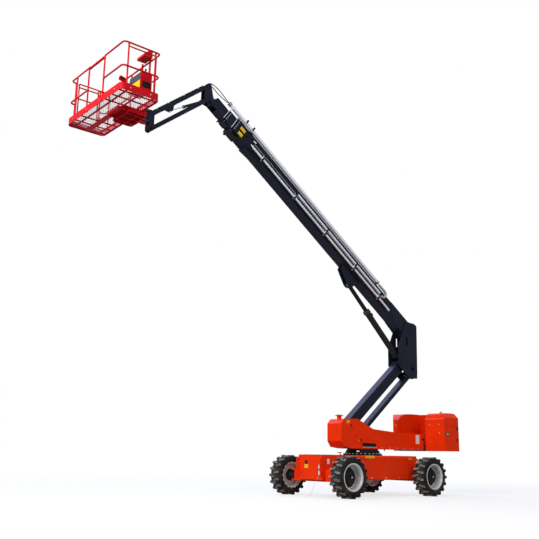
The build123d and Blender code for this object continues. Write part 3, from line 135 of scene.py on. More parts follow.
class LiftSizes(bpy.types.PropertyGroup):
    """Sizes of the small parts"""

    nut: bpy.props.FloatProperty(
        name="Wheel nut", description="Across the flats of a wheel nut",
        subtype="DISTANCE", unit="LENGTH", default=0.030, min=0.01, max=0.06,
    )
    nut_circle: bpy.props.FloatProperty(
        name="Nut circle", description="Radius of the circle of wheel nuts",
        subtype="DISTANCE", unit="LENGTH", default=0.208, min=0.1, max=0.25,
    )
    bolt: bpy.props.FloatProperty(
        name="Bolt head", description="Across the flats of a body bolt",
        subtype="DISTANCE", unit="LENGTH", default=0.022, min=0.008, max=0.05,
    )
    hose: bpy.props.FloatProperty(
        name="Hose radius", description="Radius of a hydraulic hose",
        subtype="DISTANCE", unit="LENGTH", default=0.011, min=0.004, max=0.03,
    )
    mesh_pitch: bpy.props.FloatProperty(
        name="Floor mesh", description="Pitch of the basket's floor mesh",
        subtype="DISTANCE", unit="LENGTH", default=0.042, min=0.02, max=0.1,
    )
    mesh_bar: bpy.props.FloatProperty(
        name="Floor strand", description="Width of a strand of the floor mesh",
        subtype="DISTANCE", unit="LENGTH", default=0.006, min=0.002, max=0.02,
    )
    lens: bpy.props.FloatProperty(
        name="Lens", description="Focal length of the camera",
        subtype="DISTANCE_CAMERA", unit="CAMERA", default=50.98, min=10, max=200,
    )


# Places along the boom, jib and riser
def along_beam(pin, angle, along, across, y=0.0):
    """A point along a beam from its pin, and across it, upward of its direction."""
    return Vector((
        pin[0] + along * cos(angle) - across * sin(angle),
        y,
        pin[1] + along * sin(angle) + across * cos(angle),
    ))


def on_boom(along, across, y=0.0):
    """A point on the boom, from its rear pin."""
    return along_beam(BOOM_PIN, BOOM_ANGLE, along, across, y)


def beam_axes(angle):
    """The rotation whose X runs along a beam and whose Z is across it."""
    return Matrix.Rotation(-angle, 4, "Y")


# Mesh parts
TUBE_SIDES = 10
SHARP_ANGLE = radians(35)
PACKED_SHARP_ANGLE = radians(32)


def put_box(bm, centre, size, turn=None):
    """Adds a block to a mesh, turned by a rotation matrix where one is given."""
    place = Matrix.Translation(centre) @ (turn or Matrix.Identity(4))
    place = place @ Matrix.Diagonal((*size, 1.0))
    bmesh.ops.create_cube(bm, size=1.0, matrix=place)


def put_rod(bm, start, end, radius, sides=20, end_radius=None):
    """Adds a round bar between two points, tapered where end_radius is given."""
    start, end = Vector(start), Vector(end)
    run = end - start
    place = Matrix.Translation((start + end) / 2) @ run.to_track_quat("Z", "Y").to_matrix().to_4x4()
    bmesh.ops.create_cone(
        bm, cap_ends=True, segments=sides, radius1=radius,
        radius2=radius if end_radius is None else end_radius, depth=run.length, matrix=place,
    )


def put_bolt(bm, at, out, size):
    """Adds a washer and a hexagon head that stands out along a direction."""
    at, out = Vector(at), Vector(out).normalized()
    put_rod(bm, at - out * 0.002, at + out * size * 0.12, size * 0.72, 18)
    put_rod(bm, at, at + out * size * 0.55, size * 0.56, 6)


def put_bolt_row(bm, start, end, count, out, size):
    """Adds evenly spaced bolts from one point to another."""
    start, end = Vector(start), Vector(end)
    for step in range(count):
        put_bolt(bm, start.lerp(end, step / max(count - 1, 1)), out, size)


def put_tube(bm, points, radius):
    """Adds a bent tube that follows points."""
    sides = TUBE_SIDES
    points = [Vector(p) for p in points]
    rings = []
    side = None
    for index, point in enumerate(points):
        before = points[max(index - 1, 0)]
        after = points[min(index + 1, len(points) - 1)]
        run = (after - before).normalized()
        if side is None:
            side = run.orthogonal().normalized()
        side = (side - run * side.dot(run)).normalized()
        up = run.cross(side)
        rings.append([
            bm.verts.new(point + (side * cos(2 * pi * k / sides) + up * sin(2 * pi * k / sides)) * radius)
            for k in range(sides)
        ])
    for low, high in zip(rings, rings[1:]):
        for k in range(sides):
            bm.faces.new((low[k], low[(k + 1) % sides], high[(k + 1) % sides], high[k]))
    bm.faces.new(list(reversed(rings[0])))
    bm.faces.new(rings[-1])


def put_ring(bm, centre, axis, radius, thick, sides=40, section=8):
    """Adds a round ring about an axis."""
    turn = Vector(axis).to_track_quat("Z", "Y").to_matrix().to_4x4()
    place = Matrix.Translation(centre) @ turn
    rings = []
    for step in range(sides):
        angle = 2 * pi * step / sides
        rings.append([
            bm.verts.new(place @ Vector((
                (radius + thick * cos(2 * pi * k / section)) * cos(angle),
                (radius + thick * cos(2 * pi * k / section)) * sin(angle),
                thick * sin(2 * pi * k / section),
            )))
            for k in range(section)
        ])
    for step in range(sides):
        low, high = rings[step], rings[(step + 1) % sides]
        for k in range(section):
            bm.faces.new((low[k], low[(k + 1) % section], high[(k + 1) % section], high[k]))


def smooth_run(points, steps=8):
    """Points of a smooth curve through the given points, for a clipped hose or a bent tube."""
    points = [Vector(p) for p in points]
    ends = [points[0] * 2 - points[1], *points, points[-1] * 2 - points[-2]]
    run = []
    for a, b, c, d in zip(ends, ends[1:], ends[2:], ends[3:]):
        for step in range(steps):
            t = step / steps
            run.append(0.5 * (
                2 * b + (c - a) * t + (2 * a - 5 * b + 4 * c - d) * t * t + (3 * b - a - 3 * c + d) * t ** 3
            ))
    return run + [points[-1]]


def new_piece(name, bm, body, material, bevel=0.0):
    """Makes a finished object from a mesh and lets it ride on a body of the machine."""
    bmesh.ops.recalc_face_normals(bm, faces=bm.faces)
    mesh = bpy.data.meshes.new(name)
    bm.to_mesh(mesh)
    bm.free()
    if not mesh.polygons:
        raise RuntimeError(f"{name} has no faces")
    piece = bpy.data.objects.new(name, mesh)
    bpy.context.scene.collection.objects.link(piece)
    mesh.materials.append(material)
    for polygon in mesh.polygons:
        polygon.use_smooth = True
    mesh.set_sharp_from_angle(angle=SHARP_ANGLE)
    if bevel:
        rounding = piece.modifiers.new("Rounded edges", "BEVEL")
        rounding.width = bevel
        rounding.segments = 2
        rounding.limit_method = "ANGLE"
        rounding.harden_normals = True
    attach(piece, body)
    return piece


# Shared effects, as shader node groups
def new_group(name, inputs, outputs):
    """Starts a shader node group with named sockets and returns it with its input and output nodes."""
    group = bpy.data.node_groups.new(name, "ShaderNodeTree")
    for label, kind, value in inputs:
        socket = group.interface.new_socket(name=label, in_out="INPUT", socket_type=kind)
        socket.default_value = value
    for label, kind in outputs:
        group.interface.new_socket(name=label, in_out="OUTPUT", socket_type=kind)
    source = group.nodes.new("NodeGroupInput")
    result = group.nodes.new("NodeGroupOutput")
    source.location, result.location = (-900, 0), (700, 0)
    return group, source, result


def add_node(tree, kind, place, **settings):
    """Adds a node to a tree, placed and set."""
    node = tree.nodes.new(kind)
    node.location = place
    for name, value in settings.items():
        setattr(node, name, value)
    return node


def add_math(tree, operation, place, first, second, clamp=False):
    """Adds a Math node whose two inputs are sockets or numbers."""
    node = add_node(tree, "ShaderNodeMath", place, operation=operation, use_clamp=clamp)
    for socket, value in zip(node.inputs, (first, second)):
        if isinstance(value, bpy.types.NodeSocket):
            tree.links.new(value, socket)
        else:
            socket.default_value = value
    return node.outputs[0]


def add_noise(tree, place, vector, scale, detail=3.0, roughness=0.55):
    """Adds a noise texture and returns its factor."""
    node = add_node(tree, "ShaderNodeTexNoise", place)
    node.inputs["Detail"].default_value = detail
    node.inputs["Roughness"].default_value = roughness
    tree.links.new(vector, node.inputs["Vector"])
    if isinstance(scale, bpy.types.NodeSocket):
        tree.links.new(scale, node.inputs["Scale"])
    else:
        node.inputs["Scale"].default_value = scale
    return node.outputs["Fac"]


def add_range(tree, place, value, low, high, to_low=0.0, to_high=1.0):
    """Maps a value's range onto another."""
    node = add_node(tree, "ShaderNodeMapRange", place)
    node.inputs["From Min"].default_value = low
    node.inputs["From Max"].default_value = high
    node.inputs["To Min"].default_value = to_low
    node.inputs["To Max"].default_value = to_high
    tree.links.new(value, node.inputs["Value"])
    return node.outputs["Result"]


def build_settled_dust():
    """Dust that gathers on level faces and near the ground: a mask."""
    group, source, result = new_group(
        "Settled dust",
        [
            ("Amount", "NodeSocketFloat", 0.3),
            ("Scale", "NodeSocketFloat", 4.0),
            ("Top height", "NodeSocketFloat", 1.2),
        ],
        [("Mask", "NodeSocketFloat")],
    )
    place = add_node(group, "ShaderNodeNewGeometry", (-900, -300))
    split = add_node(group, "ShaderNodeSeparateXYZ", (-700, -300))
    group.links.new(place.outputs["Position"], split.inputs[0])
    facing = add_node(group, "ShaderNodeSeparateXYZ", (-700, -480))
    group.links.new(place.outputs["Normal"], facing.inputs[0])
    level = add_range(group, (-500, -480), facing.outputs["Z"], 0.55, 1.0)
    drop = add_math(group, "DIVIDE", (-500, -300), split.outputs["Z"], source.outputs["Top height"])
    low = add_math(group, "SUBTRACT", (-320, -300), 1.0, drop, clamp=True)
    both = add_math(
        group, "MAXIMUM", (-140, -380), add_math(group, "MULTIPLY", (-300, -480), level, 0.55), low,
    )
    patches = add_noise(group, (-500, 0), place.outputs["Position"], source.outputs["Scale"], 5.0, 0.65)
    spread = add_range(group, (-300, 0), patches, 0.38, 0.72)
    mask = add_math(group, "MULTIPLY", (60, -100), both, spread)
    group.links.new(
        add_math(group, "MULTIPLY", (240, -100), mask, source.outputs["Amount"], clamp=True),
        result.inputs["Mask"],
    )
    return group


def build_worn_edges():
    """Paint rubbed thin along edges: a mask and a normal with soft edges."""
    group, source, result = new_group(
        "Worn edges",
        [
            ("Radius", "NodeSocketFloat", 0.006),
            ("Amount", "NodeSocketFloat", 0.5),
            ("Scale", "NodeSocketFloat", 14.0),
        ],
        [("Mask", "NodeSocketFloat"), ("Normal", "NodeSocketVector")],
    )
    soft = add_node(group, "ShaderNodeBevel", (-600, 100), samples=4)
    group.links.new(source.outputs["Radius"], soft.inputs["Radius"])
    place = add_node(group, "ShaderNodeNewGeometry", (-900, -300))
    turn = add_node(group, "ShaderNodeVectorMath", (-400, 0), operation="DOT_PRODUCT")
    group.links.new(soft.outputs["Normal"], turn.inputs[0])
    group.links.new(place.outputs["Normal"], turn.inputs[1])
    edge = add_range(group, (-200, 0), turn.outputs["Value"], 0.985, 0.80)
    rubbed = add_noise(group, (-400, -300), place.outputs["Position"], source.outputs["Scale"], 6.0, 0.7)
    patchy = add_range(group, (-200, -300), rubbed, 0.46, 0.62)
    mask = add_math(group, "MULTIPLY", (0, -100), edge, patchy)
    group.links.new(
        add_math(group, "MULTIPLY", (180, -100), mask, source.outputs["Amount"], clamp=True),
        result.inputs["Mask"],
    )
    group.links.new(soft.outputs["Normal"], result.inputs["Normal"])
    return group


def build_fine_grain():
    """The small unevenness of a coat or casting: a value for roughness and a height for bump."""
    group, source, result = new_group(
        "Fine grain",
        [
            ("Scale", "NodeSocketFloat", 60.0),
            ("Low", "NodeSocketFloat", 0.35),
            ("High", "NodeSocketFloat", 0.55),
        ],
        [("Roughness", "NodeSocketFloat"), ("Height", "NodeSocketFloat")],
    )
    place = add_node(group, "ShaderNodeNewGeometry", (-900, -300))
    grain = add_noise(group, (-500, 0), place.outputs["Position"], source.outputs["Scale"], 4.0, 0.6)
    clouds = add_noise(group, (-500, -300), place.outputs["Position"], 3.0, 3.0, 0.5)
    mixed = add_math(
        group, "MULTIPLY", (-120, -150), add_math(group, "ADD", (-300, -150), grain, clouds), 0.5,
    )
    blend = add_node(group, "ShaderNodeMix", (100, -100), data_type="FLOAT")
    group.links.new(mixed, blend.inputs["Factor"])
    group.links.new(source.outputs["Low"], blend.inputs[2])
    group.links.new(source.outputs["High"], blend.inputs[3])
    group.links.new(blend.outputs[0], result.inputs["Roughness"])
    group.links.new(grain, result.inputs["Height"])
    return group


def place_group(tree, group, place, **values):
    """Places a shared effect in a material with its own values."""
    node = add_node(tree, "ShaderNodeGroup", place, node_tree=group)
    for name, value in values.items():
        node.inputs[name.replace("_", " ")].default_value = value
    return node


def mix_colour(tree, place, mask, first, second):
    """Mixes two colours, each a socket or a colour, by a mask."""
    node = add_node(tree, "ShaderNodeMix", place, data_type="RGBA")
    if isinstance(mask, bpy.types.NodeSocket):
        tree.links.new(mask, node.inputs["Factor"])
    else:
        node.inputs["Factor"].default_value = mask
    for socket, value in ((node.inputs[6], first), (node.inputs[7], second)):
        if isinstance(value, bpy.types.NodeSocket):
            tree.links.new(value, socket)
        else:
            socket.default_value = (*value, 1.0)
    return node.outputs[2]


# The record's own materials carry some of the same names, so each finish gets a longer one.
FINISH_NAME = "{}_finish"
SPECULAR_LEVEL = 0.05
COAT_ROUGHNESS = 0.18
WORN_EDGE = 0.005
CLOUD_SCALE = 2.2
DUST_SCALE = 3.5

FINISHES = {
    # name: metallic, coat, low and high roughness, grain scale, bump, edge wear, dust and the shade of the
    # darker clouds in the colour
    "body_paint": (0.0, 0.02, 0.34, 0.50, 90.0, 0.04, 0.14, 0.05, 0.90),
    "boom_paint": (0.0, 0.0, 0.36, 0.54, 90.0, 0.05, 0.08, 0.012, 0.82),
    "basket_paint": (0.0, 0.0, 0.36, 0.54, 90.0, 0.04, 0.14, 0.02, 0.86),
    "dark_steel": (0.0, 0.0, 0.45, 0.70, 70.0, 0.12, 0.30, 0.16, 0.70),
    "cast_steel": (0.85, 0.0, 0.38, 0.62, 120.0, 0.18, 0.30, 0.30, 0.70),
    "silver_tube": (0.30, 0.0, 0.28, 0.44, 160.0, 0.05, 0.20, 0.08, 0.90),
    "rim_paint": (0.15, 0.10, 0.34, 0.55, 90.0, 0.06, 0.35, 0.18, 0.85),
    "chrome_rod": (1.0, 0.0, 0.08, 0.16, 200.0, 0.01, 0.0, 0.02, 0.97),
    "dark_rod": (0.9, 0.0, 0.16, 0.28, 200.0, 0.02, 0.0, 0.04, 0.90),
    "tyre_rubber": (0.0, 0.0, 0.66, 0.88, 45.0, 0.30, 0.55, 0.20, 0.65),
    "black_hose": (0.0, 0.0, 0.45, 0.62, 140.0, 0.10, 0.0, 0.15, 0.80),
    "chain_links": (0.0, 0.0, 0.50, 0.70, 110.0, 0.12, 0.20, 0.25, 0.80),
    "zinc_bolt": (0.9, 0.0, 0.30, 0.50, 180.0, 0.06, 0.0, 0.15, 0.85),
    "panel_grey": (0.0, 0.0, 0.42, 0.60, 120.0, 0.06, 0.25, 0.12, 0.90),
    "label_yellow": (0.0, 0.0, 0.38, 0.52, 100.0, 0.02, 0.0, 0.12, 0.92),
    "plate_white": (0.0, 0.0, 0.35, 0.50, 100.0, 0.02, 0.0, 0.15, 0.93),
    "plug_blue": (0.0, 0.0, 0.32, 0.45, 100.0, 0.03, 0.0, 0.05, 0.92),
    "latch_green": (0.0, 0.0, 0.34, 0.48, 100.0, 0.03, 0.0, 0.08, 0.92),
    "button_red": (0.0, 0.2, 0.28, 0.40, 100.0, 0.02, 0.0, 0.03, 0.94),
    "floor_mesh": (0.4, 0.0, 0.45, 0.65, 120.0, 0.10, 0.0, 0.25, 0.80),
    "gland_brown": (0.35, 0.0, 0.45, 0.68, 110.0, 0.12, 0.30, 0.20, 0.70),
    "hose_brown": (0.0, 0.0, 0.50, 0.68, 120.0, 0.08, 0.0, 0.12, 0.85),
}


def finish_colours():
    """The colour of each finish, from the colours that a user sets."""
    tones = bpy.context.scene.lift_colours
    return {
        "body_paint": tuple(tones.body),
        "boom_paint": tuple(tones.boom),
        "basket_paint": tuple(tones.basket),
        "dark_steel": (0.022, 0.023, 0.026),
        "cast_steel": (0.16, 0.155, 0.15),
        "silver_tube": tuple(tones.silver),
        "rim_paint": (0.68, 0.66, 0.65),
        "chrome_rod": (0.78, 0.79, 0.80),
        "dark_rod": (0.10, 0.10, 0.11),
        "tyre_rubber": tuple(tones.rubber),
        "black_hose": (0.012, 0.012, 0.013),
        "chain_links": (0.60, 0.57, 0.50),
        "zinc_bolt": (0.48, 0.48, 0.47),
        "panel_grey": (0.055, 0.068, 0.090),
        "label_yellow": tuple(tones.label),
        "plate_white": (0.80, 0.80, 0.78),
        "plug_blue": (0.02, 0.10, 0.45),
        "latch_green": (0.36, 0.46, 0.43),
        "button_red": (0.70, 0.01, 0.01),
        "floor_mesh": (0.44, 0.38, 0.43),
        "gland_brown": (0.095, 0.060, 0.050),
        "hose_brown": (0.085, 0.030, 0.026),
    }


def build_finish(name, colour, groups):
    """Builds one finish: a Principled shader fed by the shared effects."""
    metallic, coat, low, high, scale, bump, wear, dust, shade = FINISHES[name]
    material = bpy.data.materials.new(FINISH_NAME.format(name))
    material.use_nodes = True
    tree = material.node_tree
    tree.nodes.clear()
    output = add_node(tree, "ShaderNodeOutputMaterial", (900, 0))
    shader = add_node(tree, "ShaderNodeBsdfPrincipled", (600, 0))
    tree.links.new(shader.outputs[0], output.inputs["Surface"])
    shader.inputs["Metallic"].default_value = metallic
    shader.inputs["Coat Weight"].default_value = coat
    shader.inputs["Coat Roughness"].default_value = COAT_ROUGHNESS
    shader.inputs["Specular IOR Level"].default_value = SPECULAR_LEVEL
    grain = place_group(tree, groups["grain"], (-700, -300), Scale=scale, Low=low, High=high)
    spots = add_node(tree, "ShaderNodeNewGeometry", (-1100, 0))
    patches = add_noise(tree, (-900, 200), spots.outputs["Position"], CLOUD_SCALE, 4.0)
    clouds = add_range(tree, (-700, 200), patches, 0.3, 0.7)
    tone = mix_colour(tree, (-450, 200), clouds, tuple(c * shade for c in colour), colour)
    dusted = place_group(tree, groups["dust"], (-700, 0), Amount=dust, Scale=DUST_SCALE)
    tint = tuple(bpy.context.scene.lift_colours.dust)
    rough = grain.outputs["Roughness"]
    height = add_node(tree, "ShaderNodeBump", (300, -400))
    height.inputs["Strength"].default_value = bump
    height.inputs["Distance"].default_value = 0.002
    tree.links.new(grain.outputs["Height"], height.inputs["Height"])
    if wear:
        edges = place_group(tree, groups["edges"], (-700, -600), Amount=wear, Radius=WORN_EDGE)
        bare = tuple(min(c * 1.6 + 0.06, 0.8) for c in colour)
        tone = mix_colour(tree, (-200, 100), edges.outputs["Mask"], tone, bare)
        tree.links.new(edges.outputs["Normal"], height.inputs["Normal"])
    # The tyres' lug tips are greyed: dust, and a painted highlight.
    if name == "tyre_rubber":
        tone = add_lug_tip_dust_and_highlight(tree, tone)
    tone = mix_colour(tree, (50, 100), dusted.outputs["Mask"], tone, tint)
    tree.links.new(tone, shader.inputs["Base Color"])
    dull = add_math(tree, "MULTIPLY", (50, -150), dusted.outputs["Mask"], 0.4)
    tree.links.new(add_math(tree, "ADD", (250, -150), rough, dull, clamp=True), shader.inputs["Roughness"])
    tree.links.new(height.outputs["Normal"], shader.inputs["Normal"])
    return material


def add_lug_tip_dust_and_highlight(tree, tone):
    """Greys a tyre's colour near the lugs' tips, by the distance from the wheel's axle: dust, and a painted
    highlight on the tips.
    """
    spots = add_node(tree, "ShaderNodeTexCoord", (-1500, 600))
    split = add_node(tree, "ShaderNodeSeparateXYZ", (-1300, 600))
    tree.links.new(spots.outputs["Object"], split.inputs[0])
    along = add_math(
        tree, "SUBTRACT", (-1100, 700), add_math(tree, "ABSOLUTE", (-1200, 700), split.outputs["X"], 0),
        WHEEL_X,
    )
    height = add_math(tree, "SUBTRACT", (-1100, 550), split.outputs["Z"], WHEEL_Z)
    joined = add_node(tree, "ShaderNodeCombineXYZ", (-950, 600))
    tree.links.new(along, joined.inputs[0])
    tree.links.new(height, joined.inputs[2])
    radius = add_node(tree, "ShaderNodeVectorMath", (-800, 600), operation="LENGTH")
    tree.links.new(joined.outputs[0], radius.inputs[0])
    tips = add_range(tree, (-600, 600), radius.outputs["Value"], 0.452, 0.478)
    patches = add_range(
        tree, (-600, 800), add_noise(tree, (-800, 800), spots.outputs["Object"], 16.0, 5.0), 0.30, 0.62,
    )
    mask = add_math(
        tree, "MULTIPLY", (-400, 700), add_math(tree, "MULTIPLY", (-500, 700), tips, patches), 0.85, True,
    )
    # Grey on the lug tips: dust and a painted highlight.
    return mix_colour(tree, (-250, 500), mask, tone, (0.30, 0.295, 0.29))


def build_lens_amber(groups):
    """The beacon's clear amber lens, with moulded ribs."""
    material = bpy.data.materials.new(FINISH_NAME.format("lens_amber"))
    material.use_nodes = True
    tree = material.node_tree
    shader = tree.nodes["Principled BSDF"]
    shader.inputs["Transmission Weight"].default_value = 0.35
    shader.inputs["IOR"].default_value = 1.49
    grain = place_group(tree, groups["grain"], (-700, -300), Scale=80.0, Low=0.10, High=0.22)
    tree.links.new(grain.outputs["Roughness"], shader.inputs["Roughness"])
    spots = add_node(tree, "ShaderNodeNewGeometry", (-1100, 0))
    clouds = add_noise(tree, (-900, 200), spots.outputs["Position"], 30.0)
    tone = mix_colour(tree, (-450, 200), clouds, (0.90, 0.40, 0.01), (0.98, 0.56, 0.03))
    tree.links.new(tone, shader.inputs["Base Color"])
    bump = add_node(tree, "ShaderNodeBump", (-300, -400))
    bump.inputs["Strength"].default_value = 0.1
    bump.inputs["Distance"].default_value = 0.001
    tree.links.new(grain.outputs["Height"], bump.inputs["Height"])
    tree.links.new(bump.outputs["Normal"], shader.inputs["Normal"])
    return material


NODE_FINISH = {
    "chassis_frame": "body_paint", "side_covers": "body_paint", "front_axle": "body_paint",
    "rear_axle": "body_paint", "slew_ring_fixed": "black_hose", "steer_knuckle_left": "dark_steel",
    "steer_knuckle_right": "dark_steel", "slew_ring_turning": "black_hose", "turntable_frame": "body_paint",
    "counterweight": "dark_steel", "near_hood": "body_paint", "far_hood": "body_paint",
    "rear_wall": "body_paint", "battery_pack": "dark_steel", "beacon": "lens_amber",
    "near_door": "body_paint", "far_door": "body_paint", "riser": "boom_paint", "rear_link": "boom_paint",
    "upright": "boom_paint", "boom_base": "boom_paint", "cable_track": "silver_tube",
    "cable_chain": "chain_links", "boom_mid": "boom_paint", "cable_tube": "silver_tube",
    "boom_fly": "boom_paint", "lift_barrel": "dark_steel", "lift_rod": "dark_rod",
    "fly_head": "boom_paint", "jib_lower": "boom_paint", "jib_upper": "boom_paint",
    "jib_cylinder_barrel": "dark_steel", "jib_cylinder_rod": "chrome_rod", "jib_end": "boom_paint",
    "basket_support": "basket_paint", "basket_floor": "floor_mesh", "basket_frame": "basket_paint",
    "basket_rails": "basket_paint", "console": "basket_paint", "basket_gate": "basket_paint",
    "entry_bar": "basket_paint",
}


class LIFT_OT_finishes(bpy.types.Operator):
    """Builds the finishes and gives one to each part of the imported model"""

    bl_idname = "lift.finishes"
    bl_label = "Finishes"

    def execute(self, context):
        groups = {"dust": build_settled_dust(), "edges": build_worn_edges(), "grain": build_fine_grain()}
        for name, colour in finish_colours().items():
            build_finish(name, colour, groups)
        build_lens_amber(groups)
        for node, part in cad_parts.items():
            wanted = NODE_FINISH.get(node)
            if wanted is None:
                wanted = "tyre_rubber" if node.startswith("tyre") else "rim_paint"
            part.data.materials.clear()
            part.data.materials.append(finish_of(wanted))
            part.data.set_sharp_from_angle(angle=PACKED_SHARP_ANGLE)
            for polygon in part.data.polygons:
                polygon.use_smooth = True
        return {"FINISHED"}


def finish_of(name):
    """The finish with this name."""
    return bpy.data.materials[FINISH_NAME.format(name)]


# Wheels
LUG_COUNT = 17
LUG_BASE = 0.393
LUG_TOP = 0.4815
LUG_TAPER = 0.0093
LUG_OUTLINE = (
    (-0.034, 0.014), (0.030, 0.014), (0.066, -0.1075), (0.066, -0.1785), (-0.006, -0.1785),
    (-0.006, -0.1155),
)


def inset(outline, amount):
    """The corners of an outline whose edges have moved inward by an amount."""
    corners = [Vector(corner) for corner in outline]
    count = len(corners)
    turned = sum(a.x * b.y - b.x * a.y for a, b in zip(corners, corners[1:] + corners[:1]))
    sign = 1 if turned > 0 else -1
    moved = []
    for k in range(count):
        before, corner, after = (corners[(k + step) % count] for step in (-1, 0, 1))
        first, second = (corner - before).normalized(), (after - corner).normalized()
        first, second = Vector((-first.y, first.x)) * sign, Vector((-second.y, second.x)) * sign
        moved.append(corner + (first + second) * (amount / (1 + first.dot(second))))
    return moved


def put_lug(bm, place):
    """Adds one tapered tread lug, placed by a matrix whose Y is the wheel's axle."""
    rings = []
    for corners, height in ((LUG_OUTLINE, LUG_BASE), (inset(LUG_OUTLINE, LUG_TAPER), LUG_TOP)):
        rings.append([bm.verts.new(place @ Vector((x, y, height))) for x, y in corners])
    count = len(LUG_OUTLINE)
    for ring in rings:
        bm.faces.new(ring)
    for k in range(count):
        bm.faces.new((rings[0][k], rings[0][(k + 1) % count], rings[1][(k + 1) % count], rings[1][k]))


WHEELS = {
    "front_left": (WHEEL_X, 1),
    "front_right": (WHEEL_X, -1),
    "rear_left": (-WHEEL_X, 1),
    "rear_right": (-WHEEL_X, -1),
}


class LIFT_OT_wheel_parts(bpy.types.Operator):
    """Adds wheel nuts, hub drums, a dark disc of painted shade in each dish and the inner row of lugs to the
    four wheels
    """

    bl_idname = "lift.wheel_parts"
    bl_label = "Wheel parts"

    def execute(self, context):
        sizes = context.scene.lift_sizes
        nut_count = 10
        for place, (x, side) in WHEELS.items():
            hub = Vector((x, side * WHEEL_Y, WHEEL_Z))
            out = Vector((0, side, 0))
            bm = bmesh.new()
            for count in range(nut_count):
                turn = 2 * pi * count / nut_count
                spoke = Vector((cos(turn), 0, sin(turn))) * sizes.nut_circle
                put_rod(bm, hub + spoke - out * 0.024, hub + spoke - out * 0.014, sizes.nut * 0.75, 16)
                put_rod(bm, hub + spoke - out * 0.016, hub + spoke + out * 0.010, sizes.nut * 0.58, 6)
                put_rod(bm, hub + spoke, hub + spoke + out * 0.022, sizes.nut * 0.30, 10)
            new_piece(f"wheel_nuts_{place}", bm, f"wheel_{place}", finish_of("dark_steel"), 0.0012)
            bm = bmesh.new()
            put_rod(bm, hub + out * 0.070, hub + out * 0.112, 0.066, 40, 0.054)
            put_ring(bm, hub + out * 0.074, out, 0.112, 0.006, 48)
            for count in range(6):
                turn = 2 * pi * (count + 0.5) / 6
                spoke = Vector((cos(turn), 0, sin(turn))) * 0.095
                put_bolt(bm, hub + spoke + out * 0.074, out, 0.020)
            put_rod(bm, hub - out * 0.030, hub + out * 0.0765, 0.171, 56, 0.154)
            new_piece(f"hub_cap_{place}", bm, f"wheel_{place}", finish_of("black_hose"), 0.0015)
            # A dark steel disc in the dish: painted shade where the dish lies in shadow.
            bm = bmesh.new()
            put_rod(bm, hub - out * 0.032, hub - out * 0.0165, 0.240, 64, 0.232)
            new_piece(f"dish_shade_disc_{place}", bm, f"wheel_{place}", finish_of("dark_steel"), 0.0015)
            bm = bmesh.new()
            put_rod(bm, hub + out * 0.110, hub + out * 0.120, 0.020, 24, 0.014)
            new_piece(f"hub_plug_{place}", bm, f"wheel_{place}", finish_of("zinc_bolt"), 0.001)
            bm = bmesh.new()
            for ring_r, thick in ((0.352, 0.006), (0.372, 0.004), (0.418, 0.004)):
                put_ring(bm, hub + out * 0.169, out, ring_r, thick, 96, 6)
            new_piece(f"sidewall_ribs_{place}", bm, f"wheel_{place}", finish_of("tyre_rubber"))
            bm = bmesh.new()
            facing = Matrix.Translation(hub) @ Matrix.Rotation(0 if side > 0 else pi, 4, "Z")
            for count in range(LUG_COUNT):
                put_lug(bm, facing @ Matrix.Rotation(2 * pi * count / LUG_COUNT, 4, "Y"))
            new_piece(f"inner_lugs_{place}", bm, f"wheel_{place}", finish_of("tyre_rubber"), 0.003)
        return {"FINISHED"}


